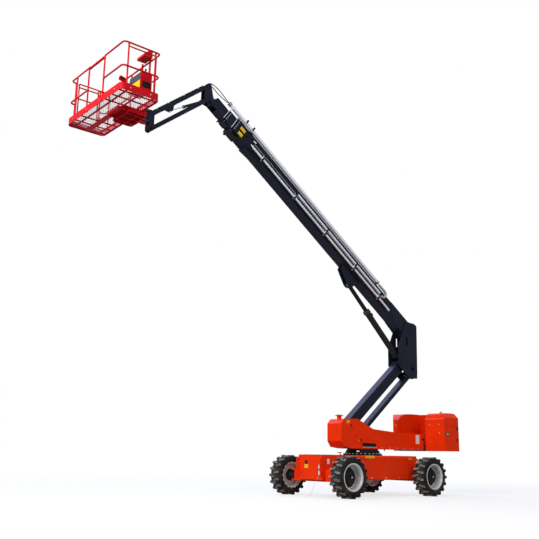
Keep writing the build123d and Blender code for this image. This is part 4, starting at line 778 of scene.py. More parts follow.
class LIFT_OT_chassis_parts(bpy.types.Operator):
    """Adds ring bolts, cover fasteners, the charging plug, plates and steering gear to the chassis"""

    bl_idname = "lift.chassis_parts"
    bl_label = "Chassis parts"

    def execute(self, context):
        bolt = context.scene.lift_sizes.bolt
        bm = bmesh.new()
        ring_bolts = 28
        for count in range(ring_bolts):
            turn = 2 * pi * count / ring_bolts
            at = Vector((SLEW_X + 0.478 * cos(turn), 0.478 * sin(turn), 1.022))
            put_bolt(bm, at, UP, bolt * 1.3)
        new_piece("ring_bolts", bm, "chassis", finish_of("zinc_bolt"), 0.0008)
        bm = bmesh.new()
        for side in (1, -1):
            out = (0, side, 0)
            for x in (-1.20, -0.72, -0.20, 0.30, 0.78):
                put_bolt(bm, (x, side * 0.710, 0.450), out, bolt)
        new_piece("cover_bolts", bm, "chassis", finish_of("zinc_bolt"), 0.0008)
        bm = bmesh.new()
        for side in (1, -1):
            for row in range(6):
                for column in range(17):
                    at = Vector(
                        (-1.15 + column * 0.112 + (row % 2) * 0.056, side * 0.709, 0.520 + row * 0.066),
                    )
                    put_rod(bm, at, at + Vector((0, side * 0.0045, 0)), 0.014, 12, 0.007)
            put_box(bm, (-0.21, side * 0.7125, 0.912), (2.02, 0.006, 0.016))
        new_piece("cover_dimples", bm, "chassis", finish_of("body_paint"))
        bm = bmesh.new()
        for side in (1, -1):
            for x in (1.20, -1.24):
                put_box(bm, (x, side * 0.24, DECK_Z + 0.002), (0.80, 0.22, 0.004))
        put_box(bm, (0.62, 0.0, DECK_Z + 0.002), (0.36, 1.10, 0.004))
        new_piece("deck_pads", bm, "chassis", finish_of("dark_steel"), 0.001)
        bm = bmesh.new()
        put_ring(bm, (1.702, -0.142, 0.809), (1, 0, 0), 0.040, 0.007, 40)
        put_rod(bm, (DECK_FRONT, -0.142, 0.809), (DECK_FRONT + 0.007, -0.142, 0.809), 0.036, 36)
        put_rod(bm, (1.600, 0.418, 0.816), (1.600, 0.426, 0.816), 0.016, 20)
        for y in (-0.330, 0.330):
            put_rod(bm, (DECK_FRONT, y, 0.560), (DECK_FRONT + 0.008, y, 0.560), 0.018, 20)
        new_piece("front_ports", bm, "chassis", finish_of("black_hose"), 0.001)
        bm = bmesh.new()
        put_box(bm, (1.500, 0.4215, 0.830), (0.075, 0.003, 0.120))
        new_piece("white_plates", bm, "chassis", finish_of("plate_white"), 0.001)
        bm = bmesh.new()
        put_box(bm, (1.702, -0.142, 0.713), (0.004, 0.135, 0.090))
        put_box(bm, (0.360, 0.7125, 0.950), (0.330, 0.003, 0.060))
        put_box(bm, (-1.160, 0.7125, 0.915), (0.150, 0.003, 0.045))
        new_piece("yellow_plates", bm, "chassis", finish_of("label_yellow"), 0.001)
        bm = bmesh.new()
        put_box(bm, (1.712, 0.345, 0.735), (0.022, 0.060, 0.060))
        put_rod(bm, (1.722, 0.345, 0.725), (1.722, 0.345, 0.520), 0.030, 32, 0.024)
        new_piece("charging_plug", bm, "chassis", finish_of("plate_white"), 0.003)
        bm = bmesh.new()
        put_rod(bm, (1.722, 0.345, 0.662), (1.722, 0.345, 0.622), 0.0325, 32)
        new_piece("plug_band", bm, "chassis", finish_of("plug_blue"), 0.001)
        bm = bmesh.new()
        put_box(bm, (1.060, 0.395, 0.990), (0.060, 0.030, 0.012))
        put_rod(bm, (1.060, 0.395, 0.990), (1.085, 0.395, 1.045), 0.011, 16)
        put_rod(bm, (1.010, 0.395, 1.050), (1.165, 0.395, 1.042), 0.010, 16)
        new_piece("tow_lever", bm, "chassis", finish_of("button_red"), 0.002)
        bm = bmesh.new()
        put_rod(bm, (STEER_ROD_X, -0.60, 0.50), (STEER_ROD_X, 0.60, 0.50), 0.020, 24)
        for side in (1, -1):
            put_rod(bm, (STEER_ROD_X, side * 0.30, 0.58), (STEER_ROD_X, side * 0.30, 0.44), 0.026, 20)
        new_piece("steering_rod", bm, "chassis", finish_of("chrome_rod"))
        bm = bmesh.new()
        put_rod(bm, (STEER_ROD_X, -0.26, 0.50), (STEER_ROD_X, 0.26, 0.50), 0.040, 32)
        for side in (1, -1):
            put_box(bm, (STEER_ROD_X + 0.020, side * 0.20, 0.50), (0.050, 0.060, 0.11))
        new_piece("steering_cylinder", bm, "chassis", finish_of("dark_steel"), 0.002)
        for end, x in (("front", WHEEL_X), ("rear", -WHEEL_X)):
            bm = bmesh.new()
            for side in (1, -1):
                for offset in (-0.09, 0.09):
                    put_bolt(bm, (x + offset, side * 0.40, 0.652), UP, bolt * 1.2)
                    put_bolt(bm, (x + offset, side * 0.55, 0.652), UP, bolt)
            new_piece(f"axle_bolts_{end}", bm, "chassis", finish_of("zinc_bolt"), 0.0008)
        return {"FINISHED"}


# Turntable and tail
CHEEK_CENTRE = (0.060, 1.960)
CHEEK_RADIUS = 0.700


class LIFT_OT_turntable_parts(bpy.types.Operator):
    """Adds pin caps, seams, windows, hoses and blank plates to the turntable's frame"""

    bl_idname = "lift.turntable_parts"
    bl_label = "Turntable parts"

    def execute(self, context):
        sizes = context.scene.lift_sizes
        bolt = sizes.bolt
        bm = bmesh.new()
        for side in (1, -1):
            out = Vector((0, side, 0))
            for x, z in (RISER_PIN, LINK_PIN):
                put_bolt(bm, (x + 0.052, side * FRAME_SIDE, z - 0.030), out, bolt * 0.8)
            y = side * FRAME_SIDE
            put_bolt_row(bm, (-2.33, y, 1.20), (-2.33, y, 1.52), 4, out, bolt)
            put_bolt_row(bm, (-2.05, y, 1.185), (-0.60, y, 1.185), 6, out, bolt)
        new_piece("frame_bolts", bm, "turntable", finish_of("zinc_bolt"), 0.0008)
        bm = bmesh.new()
        for side in (1, -1):
            for x, z in (RISER_PIN, LINK_PIN):
                inner, outer = side * (FRAME_SIDE - 0.002), side * (FRAME_SIDE + 0.016)
                put_rod(bm, (x, inner, z), (x, outer, z), 0.036, 32, 0.030)
        new_piece("frame_pin_caps", bm, "turntable", finish_of("black_hose"), 0.002)
        bm = bmesh.new()
        for side in (1, -1):
            put_tube(bm, [
                (
                    CHEEK_CENTRE[0] + CHEEK_RADIUS * cos(radians(-12 - 5 * step)), side * FRAME_SIDE,
                    CHEEK_CENTRE[1] + CHEEK_RADIUS * sin(radians(-12 - 5 * step)),
                )
                for step in range(15)
            ], 0.010)
            inner, outer = side * (FRAME_SIDE - 0.002), side * (FRAME_SIDE + 0.018)
            put_rod(bm, (0.386, inner, 1.524), (0.386, outer, 1.524), 0.060, 36)
            put_ring(bm, (0.386, outer, 1.524), (0, 1, 0), 0.044, 0.006, 36)
            put_box(bm, (-1.745, side * 0.252, 1.37), (0.020, 0.006, 0.40))
            put_box(bm, (-0.80, side * 0.252, 1.555), (1.10, 0.008, 0.030), beam_axes(radians(2.5)))
        new_piece("frame_seams", bm, "turntable", finish_of("body_paint"), 0.0025)
        bm = bmesh.new()
        for side in (1, -1):
            put_box(bm, (-0.130, side * 0.212, 1.244), (0.56, 0.012, 0.125), beam_axes(radians(2)))
        new_piece("side_windows", bm, "turntable", finish_of("dark_steel"), 0.002)
        bm = bmesh.new()
        for side in (1, -1):
            for slot in range(7):
                x = -0.34 + slot * 0.070
                put_box(bm, (x, side * 0.222, 1.244), (0.012, 0.012, 0.095))
        new_piece("window_bars", bm, "turntable", finish_of("black_hose"), 0.001)
        bm = bmesh.new()
        for side in (1, -1):
            for slot in range(9):
                put_box(bm, (-0.37 + slot * 0.058, side * 0.2515, 1.192), (0.036, 0.004, 0.014))
        put_box(bm, (0.352, 0.300, 1.085), (0.012, 0.090, 0.030))
        new_piece("window_specks", bm, "turntable", finish_of("plate_white"), 0.001)
        bm = bmesh.new()
        put_rod(bm, (-0.698, 0.240, 1.150), (-0.698, 0.240, 1.108), 0.022, 24, 0.014)
        put_rod(bm, (-2.245, 0.248, 1.440), (-2.245, 0.272, 1.440), 0.030, 28)
        put_box(bm, (-2.310, 0.270, 1.150), (0.110, 0.030, 0.030))
        new_piece("frame_stops", bm, "turntable", finish_of("black_hose"), 0.003)
        bm = bmesh.new()
        for side in (1, -1):
            put_box(bm, (0.640, side * (FRAME_SIDE + 0.0025), 1.800), (0.115, 0.004, 0.070))
        new_piece("frame_yellow_plates", bm, "turntable", finish_of("label_yellow"), 0.001)
        bm = bmesh.new()
        for side in (1, -1):
            put_box(bm, (-2.030, side * (FRAME_SIDE + 0.0025), 1.430), (0.150, 0.004, 0.235))
        new_piece("frame_white_plates", bm, "turntable", finish_of("plate_white"), 0.001)
        bm = bmesh.new()
        for shift in (-0.075, -0.035, 0.035, 0.075):
            put_tube(bm, smooth_run([
                (0.30, shift, 1.30), (0.05, shift, 1.22), (-0.40, shift * 1.2, 1.20),
                (-1.20, shift * 1.3, 1.22), (-1.90, shift * 1.4, 1.24), (-2.30, shift * 1.5, 1.26),
            ]), sizes.hose)
        new_piece("frame_hoses", bm, "turntable", finish_of("black_hose"))
        bm = bmesh.new()
        put_rod(bm, (0.710, 0, 1.962), (0.710, 0, 1.976), 0.070, 36)
        put_bolt_row(bm, (0.640, 0, 1.960), (0.780, 0, 1.960), 2, UP, bolt)
        new_piece("nose_cap", bm, "turntable", finish_of("dark_steel"), 0.002)
        return {"FINISHED"}


class LIFT_OT_hood_parts(bpy.types.Operator):
    """Adds hinges, latches and louvres to the hoods and their doors"""

    bl_idname = "lift.hood_parts"
    bl_label = "Hood parts"

    def execute(self, context):
        bolt = context.scene.lift_sizes.bolt
        doors = {"near": (1, *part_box("near_door")), "far": (-1, *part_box("far_door"))}
        for name, (side, low, high) in doors.items():
            face = max(abs(low.y), abs(high.y)) * side
            bm = bmesh.new()
            for z in (low.z + 0.07, high.z - 0.07):
                put_rod(bm, (low.x + 0.004, face, z - 0.04), (low.x + 0.004, face, z + 0.04), 0.009, 16)
                put_box(bm, (low.x + 0.030, face + side * 0.002, z), (0.050, 0.005, 0.070))
            new_piece(f"{name}_door_hinges", bm, f"{name}_door", finish_of("dark_steel"), 0.001)
            bm = bmesh.new()
            latch = Vector((high.x - 0.085, face + side * 0.004, (low.z + high.z) / 2))
            put_box(bm, latch, (0.125, 0.008, 0.095))
            new_piece(f"{name}_door_latch", bm, f"{name}_door", finish_of("dark_steel"), 0.003)
            bm = bmesh.new()
            put_box(bm, latch + Vector((0, side * 0.003, 0)), (0.085, 0.008, 0.062))
            new_piece(f"{name}_latch_plate", bm, f"{name}_door", finish_of("latch_green"), 0.002)
        bm = bmesh.new()
        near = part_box("near_hood")
        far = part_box("far_hood")
        for y, z in ((0.47, 1.83), (0.80, 1.83), (0.80, 1.60), (0.80, 1.365), (0.47, 1.365)):
            put_bolt(bm, (near[1].x, y, z), (1, 0, 0), bolt)
        for y, z in ((-0.40, 1.82), (-0.40, 1.36)):
            put_bolt(bm, (far[1].x, y, z), (1, 0, 0), bolt)
        put_bolt(bm, (-2.200, far[1].y, 1.820), (0, 1, 0), bolt)
        put_bolt(bm, (-2.750, far[1].y, 1.800), (0, 1, 0), bolt)
        for side in (1, -1):
            put_bolt_row(
                bm, (-2.882, side * 0.965, 1.24), (-2.882, side * 0.965, 1.92), 9, (0, side, 0), bolt * 0.7,
            )
        new_piece("hood_bolts", bm, "turntable", finish_of("zinc_bolt"), 0.0008)
        bm = bmesh.new()
        for slot in range(8):
            z = 1.42 + slot * 0.045
            put_box(bm, (-2.893, 0.0, z), (0.008, 0.40, 0.016), Matrix.Rotation(radians(25), 4, "Y"))
        new_piece("hood_louvres", bm, "turntable", finish_of("body_paint"), 0.0015)
        low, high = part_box("beacon")
        foot = Vector(((low.x + high.x) / 2, (low.y + high.y) / 2, low.z))
        bm = bmesh.new()
        put_rod(bm, foot, foot + UP * 0.022, 0.043, 36, 0.040)
        new_piece("beacon_base", bm, "turntable", finish_of("black_hose"), 0.002)
        return {"FINISHED"}


# Riser, upright and lift cylinder
class LIFT_OT_riser_parts(bpy.types.Operator):
    """Adds hoses, clamps and end plates to the riser, and pin keepers, bosses, rollers and a manifold to the
    upright
    """

    bl_idname = "lift.riser_parts"
    bl_label = "Riser parts"

    def execute(self, context):
        sizes = context.scene.lift_sizes
        bolt = sizes.bolt
        inner_face = RISER_DROP - RISER_DEPTH / 2
        outer_face = RISER_DROP + RISER_DEPTH / 2
        turn = beam_axes(RISER_ANGLE)
        bm = bmesh.new()
        for side in (1, -1):
            for across in (inner_face + 0.02, outer_face - 0.02):
                for along in (0.30, RISER_LENGTH - 0.30):
                    at = along_beam(RISER_PIN, RISER_ANGLE, along, across, side * (RISER_WIDTH / 2 + 0.003))
                    put_box(bm, at, (0.24, 0.006, 0.030), turn)
        new_piece("riser_doublers", bm, "riser", finish_of("boom_paint"), 0.002)
        bm = bmesh.new()
        for shift in (-0.045, -0.015, 0.015, 0.045):
            points = [
                along_beam(RISER_PIN, RISER_ANGLE, along, outer_face + 0.014, shift)
                for along in (0.25, 0.9, 1.6, 2.2, RISER_LENGTH - 0.25)
            ]
            put_tube(bm, smooth_run(points, 4), sizes.hose)
        new_piece("riser_hoses", bm, "riser", finish_of("black_hose"))
        bm = bmesh.new()
        for along in (0.45, 1.15, 1.85, 2.40):
            at = along_beam(RISER_PIN, RISER_ANGLE, along, outer_face + 0.016, 0)
            put_box(bm, at, (0.035, 0.130, 0.030), turn)
        new_piece("riser_hose_clamps", bm, "riser", finish_of("zinc_bolt"), 0.002)
        bm = bmesh.new()
        for pin in (UPRIGHT_RISER_PIN, UPRIGHT_LINK_PIN, LIFT_PIN, BOOM_PIN):
            for side in (1, -1):
                at = Vector((pin[0], side * 0.2065, pin[1]))
                out = Vector((0, side, 0))
                put_box(
                    bm, at + Vector((0.018, -side * 0.004, 0.030)), (0.11, 0.008, 0.034),
                    beam_axes(radians(40)),
                )
                put_bolt(bm, at + Vector((0.045, 0, 0.055)), out, bolt)
                put_bolt(bm, at + Vector((-0.010, 0, 0.008)), out, bolt)
        new_piece("upright_pin_keepers", bm, "upright", finish_of("dark_steel"), 0.001)
        bm = bmesh.new()
        for side in (1, -1):
            for pin, radius in (
                (UPRIGHT_RISER_PIN, 0.085), (UPRIGHT_LINK_PIN, 0.075), (LIFT_PIN, 0.085), (BOOM_PIN, 0.110),
            ):
                put_rod(bm, (pin[0], side * 0.194, pin[1]), (pin[0], side * 0.202, pin[1]), radius, 44)
            put_box(
                bm, (-2.168, side * 0.196, 3.85), (0.014, 0.012, 1.30),
                Matrix.Rotation(radians(-1.0), 4, "Y"),
            )
        new_piece("upright_bosses", bm, "upright", finish_of("boom_paint"), 0.002)
        bm = bmesh.new()
        for side in (1, -1):
            put_rod(bm, (-1.880, side * 0.10, 3.085), (-1.880, side * 0.165, 3.085), 0.020, 24)
            put_rod(bm, (-1.960, side * 0.10, 3.095), (-1.960, side * 0.165, 3.095), 0.016, 24)
        new_piece("upright_rollers", bm, "upright", finish_of("zinc_bolt"), 0.001)
        bm = bmesh.new()
        put_box(bm, (-2.150, 0.0, 3.55), (0.060, 0.180, 0.120))
        for shift in (-0.05, 0.0, 0.05):
            put_rod(bm, (-2.120, shift, 3.48), (-2.120, shift, 3.62), 0.016, 16)
        new_piece("upright_manifold", bm, "upright", finish_of("silver_tube"), 0.003)
        bm = bmesh.new()
        for shift in (-0.05, 0.0, 0.05):
            put_tube(bm, smooth_run([
                (-2.120, shift, 3.62), (-2.112, shift, 3.75), (-2.100, shift * 1.2, 3.95),
                (-2.095, shift * 1.2, 4.12),
            ]), sizes.hose)
        new_piece("upright_hoses", bm, "upright", finish_of("black_hose"))
        return {"FINISHED"}


class LIFT_OT_lift_cylinder_parts(bpy.types.Operator):
    """Adds the gland, ports and pipe to the boom's lift cylinder"""

    bl_idname = "lift.lift_cylinder_parts"
    bl_label = "Lift cylinder parts"

    def execute(self, context):
        eye = on_boom(*LIFT_EYE)
        angle = atan2(eye.z - LIFT_PIN[1], eye.x - LIFT_PIN[0])
        bm = bmesh.new()
        for along in (1.545, 1.590):
            put_rod(
                bm, along_beam(LIFT_PIN, angle, along, 0), along_beam(LIFT_PIN, angle, along + 0.018, 0),
                0.100, 44,
            )
        put_rod(
            bm, along_beam(LIFT_PIN, angle, 1.618, 0), along_beam(LIFT_PIN, angle, 1.634, 0), 0.074, 36,
            0.064,
        )
        for count in range(8):
            turn = 2 * pi * count / 8
            spoke = along_beam((0, 0), angle, 0, 0.076 * cos(turn), 0.076 * sin(turn))
            put_bolt(bm, along_beam(LIFT_PIN, angle, 1.620, 0) + spoke, (cos(angle), 0, sin(angle)), 0.018)
        new_piece("lift_gland", bm, "lift_barrel", finish_of("gland_brown"), 0.002)
        bm = bmesh.new()
        for along in (0.17, 1.42):
            put_box(bm, along_beam(LIFT_PIN, angle, along, 0.092), (0.080, 0.065, 0.050), beam_axes(angle))
        put_tube(bm, smooth_run([
            along_beam(LIFT_PIN, angle, 0.20, 0.108), along_beam(LIFT_PIN, angle, 0.32, 0.100),
            along_beam(LIFT_PIN, angle, 1.25, 0.100), along_beam(LIFT_PIN, angle, 1.39, 0.108),
        ], 5), 0.009)
        new_piece("lift_ports", bm, "lift_barrel", finish_of("dark_steel"), 0.002)
        bm = bmesh.new()
        reach = (eye - Vector((LIFT_PIN[0], 0, LIFT_PIN[1]))).length
        put_rod(
            bm, along_beam(LIFT_PIN, angle, 1.560, 0), along_beam(LIFT_PIN, angle, reach - 0.045, 0), 0.056,
            36,
        )
        new_piece("lift_rod_cover", bm, "lift_rod", finish_of("black_hose"), 0.002)
        bm = bmesh.new()
        for side in (1, -1):
            at = on_boom(*LIFT_EYE, side * 0.092)
            put_rod(bm, at, at + Vector((0, side * 0.010, 0)), 0.034, 36)
            put_bolt(bm, on_boom(2.450, -0.410, side * 0.092), (0, side, 0), 0.018)
        new_piece("lift_eye_pin_heads", bm, "boom_base", finish_of("dark_steel"), 0.001)
        return {"FINISHED"}


# Boom
class LIFT_OT_boom_parts(bpy.types.Operator):
    """Adds collar bolts, wear pad screws, seams, plates and the cable run's fittings to the boom"""

    bl_idname = "lift.boom_parts"
    bl_label = "Boom parts"

    def execute(self, context):
        sizes = context.scene.lift_sizes
        bolt = sizes.bolt
        turn = beam_axes(BOOM_ANGLE)
        across = Vector((-sin(BOOM_ANGLE), 0, cos(BOOM_ANGLE)))
        for name, along, half_w, half_d in (
            ("boom_base", 7.56, 0.150, 0.190), ("boom_mid", 7.860, 0.126, 0.162),
        ):
            bm = bmesh.new()
            for side in (1, -1):
                for step in (-0.6, -0.2, 0.2, 0.6):
                    put_bolt(bm, on_boom(along, step * half_d, side * half_w), (0, side, 0), bolt)
                    put_bolt(bm, on_boom(along, side * half_d, step * half_w), across * side, bolt)
            new_piece(f"{name}_pad_screws", bm, name, finish_of("zinc_bolt"), 0.0008)
        for name, along, half_w, half_d in (
            ("boom_base", 7.650, 0.169, 0.205), ("boom_mid", 7.937, 0.1475, 0.180),
        ):
            bm = bmesh.new()
            for side in (1, -1):
                put_box(bm, on_boom(along, 0, side * half_w), (0.012, 0.006, half_d * 1.9), turn)
            new_piece(f"{name}_collar_edges", bm, name, finish_of("silver_tube"), 0.001)
        bm = bmesh.new()
        for side in (1, -1):
            for level in (-0.178, 0.178):
                put_box(bm, on_boom(4.60, level, side * 0.152), (5.0, 0.005, 0.014), turn)
        new_piece("base_seams", bm, "boom_base", finish_of("boom_paint"), 0.002)
        bm = bmesh.new()
        for along in (0.55, 1.05, 3.3, 5.4):
            put_box(bm, on_boom(along, 0.0, -0.153), (0.16, 0.006, 0.20), turn)
        new_piece("base_doublers", bm, "boom_base", finish_of("boom_paint"), 0.002)
        bm = bmesh.new()
        put_box(bm, on_boom(7.370, 0.055, 0.1535), (0.170, 0.003, 0.085), turn)
        put_box(bm, on_boom(7.360, -0.100, 0.1535), (0.150, 0.003, 0.095), turn)
        put_box(bm, on_boom(7.30, -0.075, -0.1535), (0.190, 0.003, 0.085), turn)
        new_piece("boom_yellow_plates", bm, "boom_base", finish_of("label_yellow"), 0.001)
        bm = bmesh.new()
        put_box(bm, on_boom(7.47, -0.250, 0.0), (0.26, 0.20, 0.050), turn)
        put_box(bm, on_boom(7.60, -0.230, 0.0), (0.06, 0.28, 0.10), turn)
        new_piece("base_pad_stack", bm, "boom_base", finish_of("dark_steel"), 0.004)
        bm = bmesh.new()
        put_box(bm, on_boom(7.80, -0.205, 0.0), (0.16, 0.16, 0.050), turn)
        new_piece("mid_pad_stack", bm, "boom_mid", finish_of("dark_steel"), 0.004)
        bm = bmesh.new()
        for start, end, level in (
            (1.475, 5.22, 0.050), (1.475, 5.22, 0.024), (0.97, 6.95, -0.092), (0.97, 6.95, -0.118),
        ):
            put_rod(bm, on_boom(start, level, 0.2125), on_boom(end, level, 0.2125), 0.0125, 20)
        for level in (0.037, -0.105):
            put_rod(bm, on_boom(6.915, level, 0.214), on_boom(7.000, level, 0.214), 0.020, 24, 0.014)
        new_piece("track_tubes", bm, "boom_base", finish_of("silver_tube"))
        bm = bmesh.new()
        for level in (0.024, 0.050):
            put_rod(bm, on_boom(5.22, level, 0.2125), on_boom(6.95, level, 0.2125), 0.0132, 18)
        put_rod(bm, on_boom(4.60, -0.144, 0.185), on_boom(6.90, -0.144, 0.185), 0.011, 14)
        for level, height, reach in ((0.037, 0.150, 7.330), (-0.105, 0.010, 7.270)):
            put_tube(bm, smooth_run([
                on_boom(6.995, level, 0.214), on_boom(7.060, level + 0.012, 0.220),
                on_boom(7.130, height - 0.010, 0.212), on_boom(7.190, height, 0.195),
                on_boom(reach, height - 0.030, 0.150),
            ]), 0.011)
        new_piece("track_hoses", bm, "boom_base", finish_of("black_hose"))
        bm = bmesh.new()
        put_rod(bm, on_boom(1.05, -0.142, 0.188), on_boom(4.60, -0.142, 0.188), 0.012, 14)
        new_piece("hose_strip", bm, "boom_base", finish_of("hose_brown"))
        bm = bmesh.new()
        for along in (7.197, 7.437):
            put_box(bm, on_boom(along, 0.243, 0.2655), (0.044, 0.009, 0.112), turn)
            put_box(bm, on_boom(along, 0.295, 0.165), (0.044, 0.210, 0.010), turn)
            put_bolt(bm, on_boom(along, 0.270, 0.270), (0, 1, 0), bolt * 0.8)
        new_piece("guide_brackets", bm, "boom_base", finish_of("dark_steel"), 0.002)
        bm = bmesh.new()
        for along in (1.479, 2.62, 3.92, 5.22, 6.52):
            for level in (0.037, -0.106):
                put_box(bm, on_boom(along, level, 0.205), (0.046, 0.052, 0.066), turn)
                put_bolt(bm, on_boom(along, level, 0.231), (0, 1, 0), bolt * 0.8)
        new_piece("track_clamps", bm, "boom_base", finish_of("dark_steel"), 0.002)
        bm = bmesh.new()
        for along in (1.714, 1.759, 8.071, 8.026):
            put_box(bm, on_boom(along, 0.212, 0.206), (0.020, 0.084, 0.080), turn)
        new_piece("tube_end_rings", bm, "boom_mid", finish_of("dark_steel"), 0.003)
        return {"FINISHED"}


class LIFT_OT_chain_parts(bpy.types.Operator):
    """Adds side plates, gaps and pins to the cable chain's loop"""

    bl_idname = "lift.chain_parts"
    bl_label = "Cable chain parts"

    def execute(self, context):
        loop_r, mid, start, pitch = 0.098, 0.114, 1.385, 0.046
        spots = [(start + pitch * count + 0.012, mid + loop_r, 0.0) for count in range(6)]
        spots.append((start + 0.012, mid - loop_r, 0.0))
        arc_links = 7
        for count in range(arc_links):
            angle = radians(90.0 + 180.0 * (count + 0.5) / arc_links)
            spots.append((start + loop_r * cos(angle), mid + loop_r * sin(angle), angle - radians(90.0)))
        bm, pins = bmesh.new(), bmesh.new()
        for along, level, angle in spots:
            turn = beam_axes(BOOM_ANGLE + angle)
            for shift in (0.231, 0.169):
                put_box(bm, on_boom(along, level, shift), (0.034, 0.006, 0.038), turn)
            ahead = Vector((cos(BOOM_ANGLE + angle), 0, sin(BOOM_ANGLE + angle))) * (pitch / 2)
            at = on_boom(along, level, 0.0) + ahead
            put_rod(pins, at + Vector((0, 0.166, 0)), at + Vector((0, 0.236, 0)), 0.006, 12)
        new_piece("chain_side_plates", bm, "boom_base", finish_of("chain_links"), 0.002)
        new_piece("chain_pins", pins, "boom_base", finish_of("dark_steel"))
        return {"FINISHED"}


# Free hoses and cords
HEAD_HOSES = {
    "head_hose_near": (
        (4.618, 0.215, 9.222), (4.700, 0.212, 9.282), (4.800, 0.196, 9.390), (4.905, 0.150, 9.510),
        (4.990, 0.095, 9.600), (5.075, 0.055, 9.640), (5.150, 0.040, 9.600), (5.165, 0.038, 9.555),
    ),
    "head_hose_far": (
        (4.618, 0.180, 9.222), (4.690, 0.176, 9.262), (4.795, 0.150, 9.330), (4.900, 0.105, 9.430),
        (4.985, 0.060, 9.545), (5.070, 0.020, 9.612), (5.140, 0.002, 9.590), (5.160, 0.000, 9.550),
    ),
}
HEAD_HOSE_LENGTHS = {"head_hose_near": 0.774, "head_hose_far": 0.735}
EARTH_STRAP = (
    (1.716, 0.330, 0.530), (1.718, 0.310, 0.478), (1.722, 0.250, 0.400), (1.728, 0.180, 0.300),
    (1.732, 0.125, 0.190), (1.734, 0.075, 0.090), (1.734, 0.020, 0.022), (1.733, -0.030, 0.0055),
)
STRAP_LENGTH = 0.6475


def new_cord(name, points, diameter, material, body, record_slot, **facts):
    """Makes a cord along points. One that crosses a joint is made a mesh tube that stays in place; any other
    rides on its body as a curve.
    """
    curve = bpy.data.curves.new(name, "CURVE")
    curve.dimensions = "3D"
    line = curve.splines.new("NURBS")
    line.points.add(len(points) - 1)
    for spot, point in zip(line.points, points):
        spot.co = (*point, 1.0)
    line.order_u = 3
    line.use_endpoint_u = True
    line.resolution_u = 12
    curve.materials.append(material)
    cord = bpy.data.objects.new(name, curve)
    crosses_joint = not isinstance(body, str)
    if crosses_joint:
        facts["path"] = [tuple(spot.co) for spot in bpy.data.meshes.new_from_object(cord).vertices]
    curve.bevel_depth = diameter / 2
    curve.bevel_resolution = 3
    curve.use_fill_caps = True
    if crosses_joint:
        tube = bpy.data.meshes.new_from_object(cord)
        tube.shade_smooth()
        bpy.data.objects.remove(cord)
        cord = bpy.data.objects.new(name, tube)
    bpy.context.scene.collection.objects.link(cord)
    if crosses_joint:
        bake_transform(cord)
    else:
        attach(cord, body)


class LIFT_OT_free_hoses(bpy.types.Operator):
    """Adds two hoses from the cable tube to the jib's head and the strap that trails under the chassis"""

    bl_idname = "lift.free_hoses"
    bl_label = "Free hoses"

    def execute(self, context):
        hose = context.scene.lift_sizes.hose
        for name, length in HEAD_HOSE_LENGTHS.items():
            new_cord(
                name, HEAD_HOSES[name], hose * 2, finish_of("black_hose"), ("boom_fly", "fly_head"), "dark",
                length=length, far_end="object", stiffness="stiff", lay="hanging",
            )
        new_cord(
            "earth_strap", EARTH_STRAP, 0.006, finish_of("plate_white"), "chassis", "plate",
            length=STRAP_LENGTH, far_end="bare", stiffness="medium", lay="hanging",
        )
        return {"FINISHED"}


# Fly head and jib
ROTATOR_X = 6.775


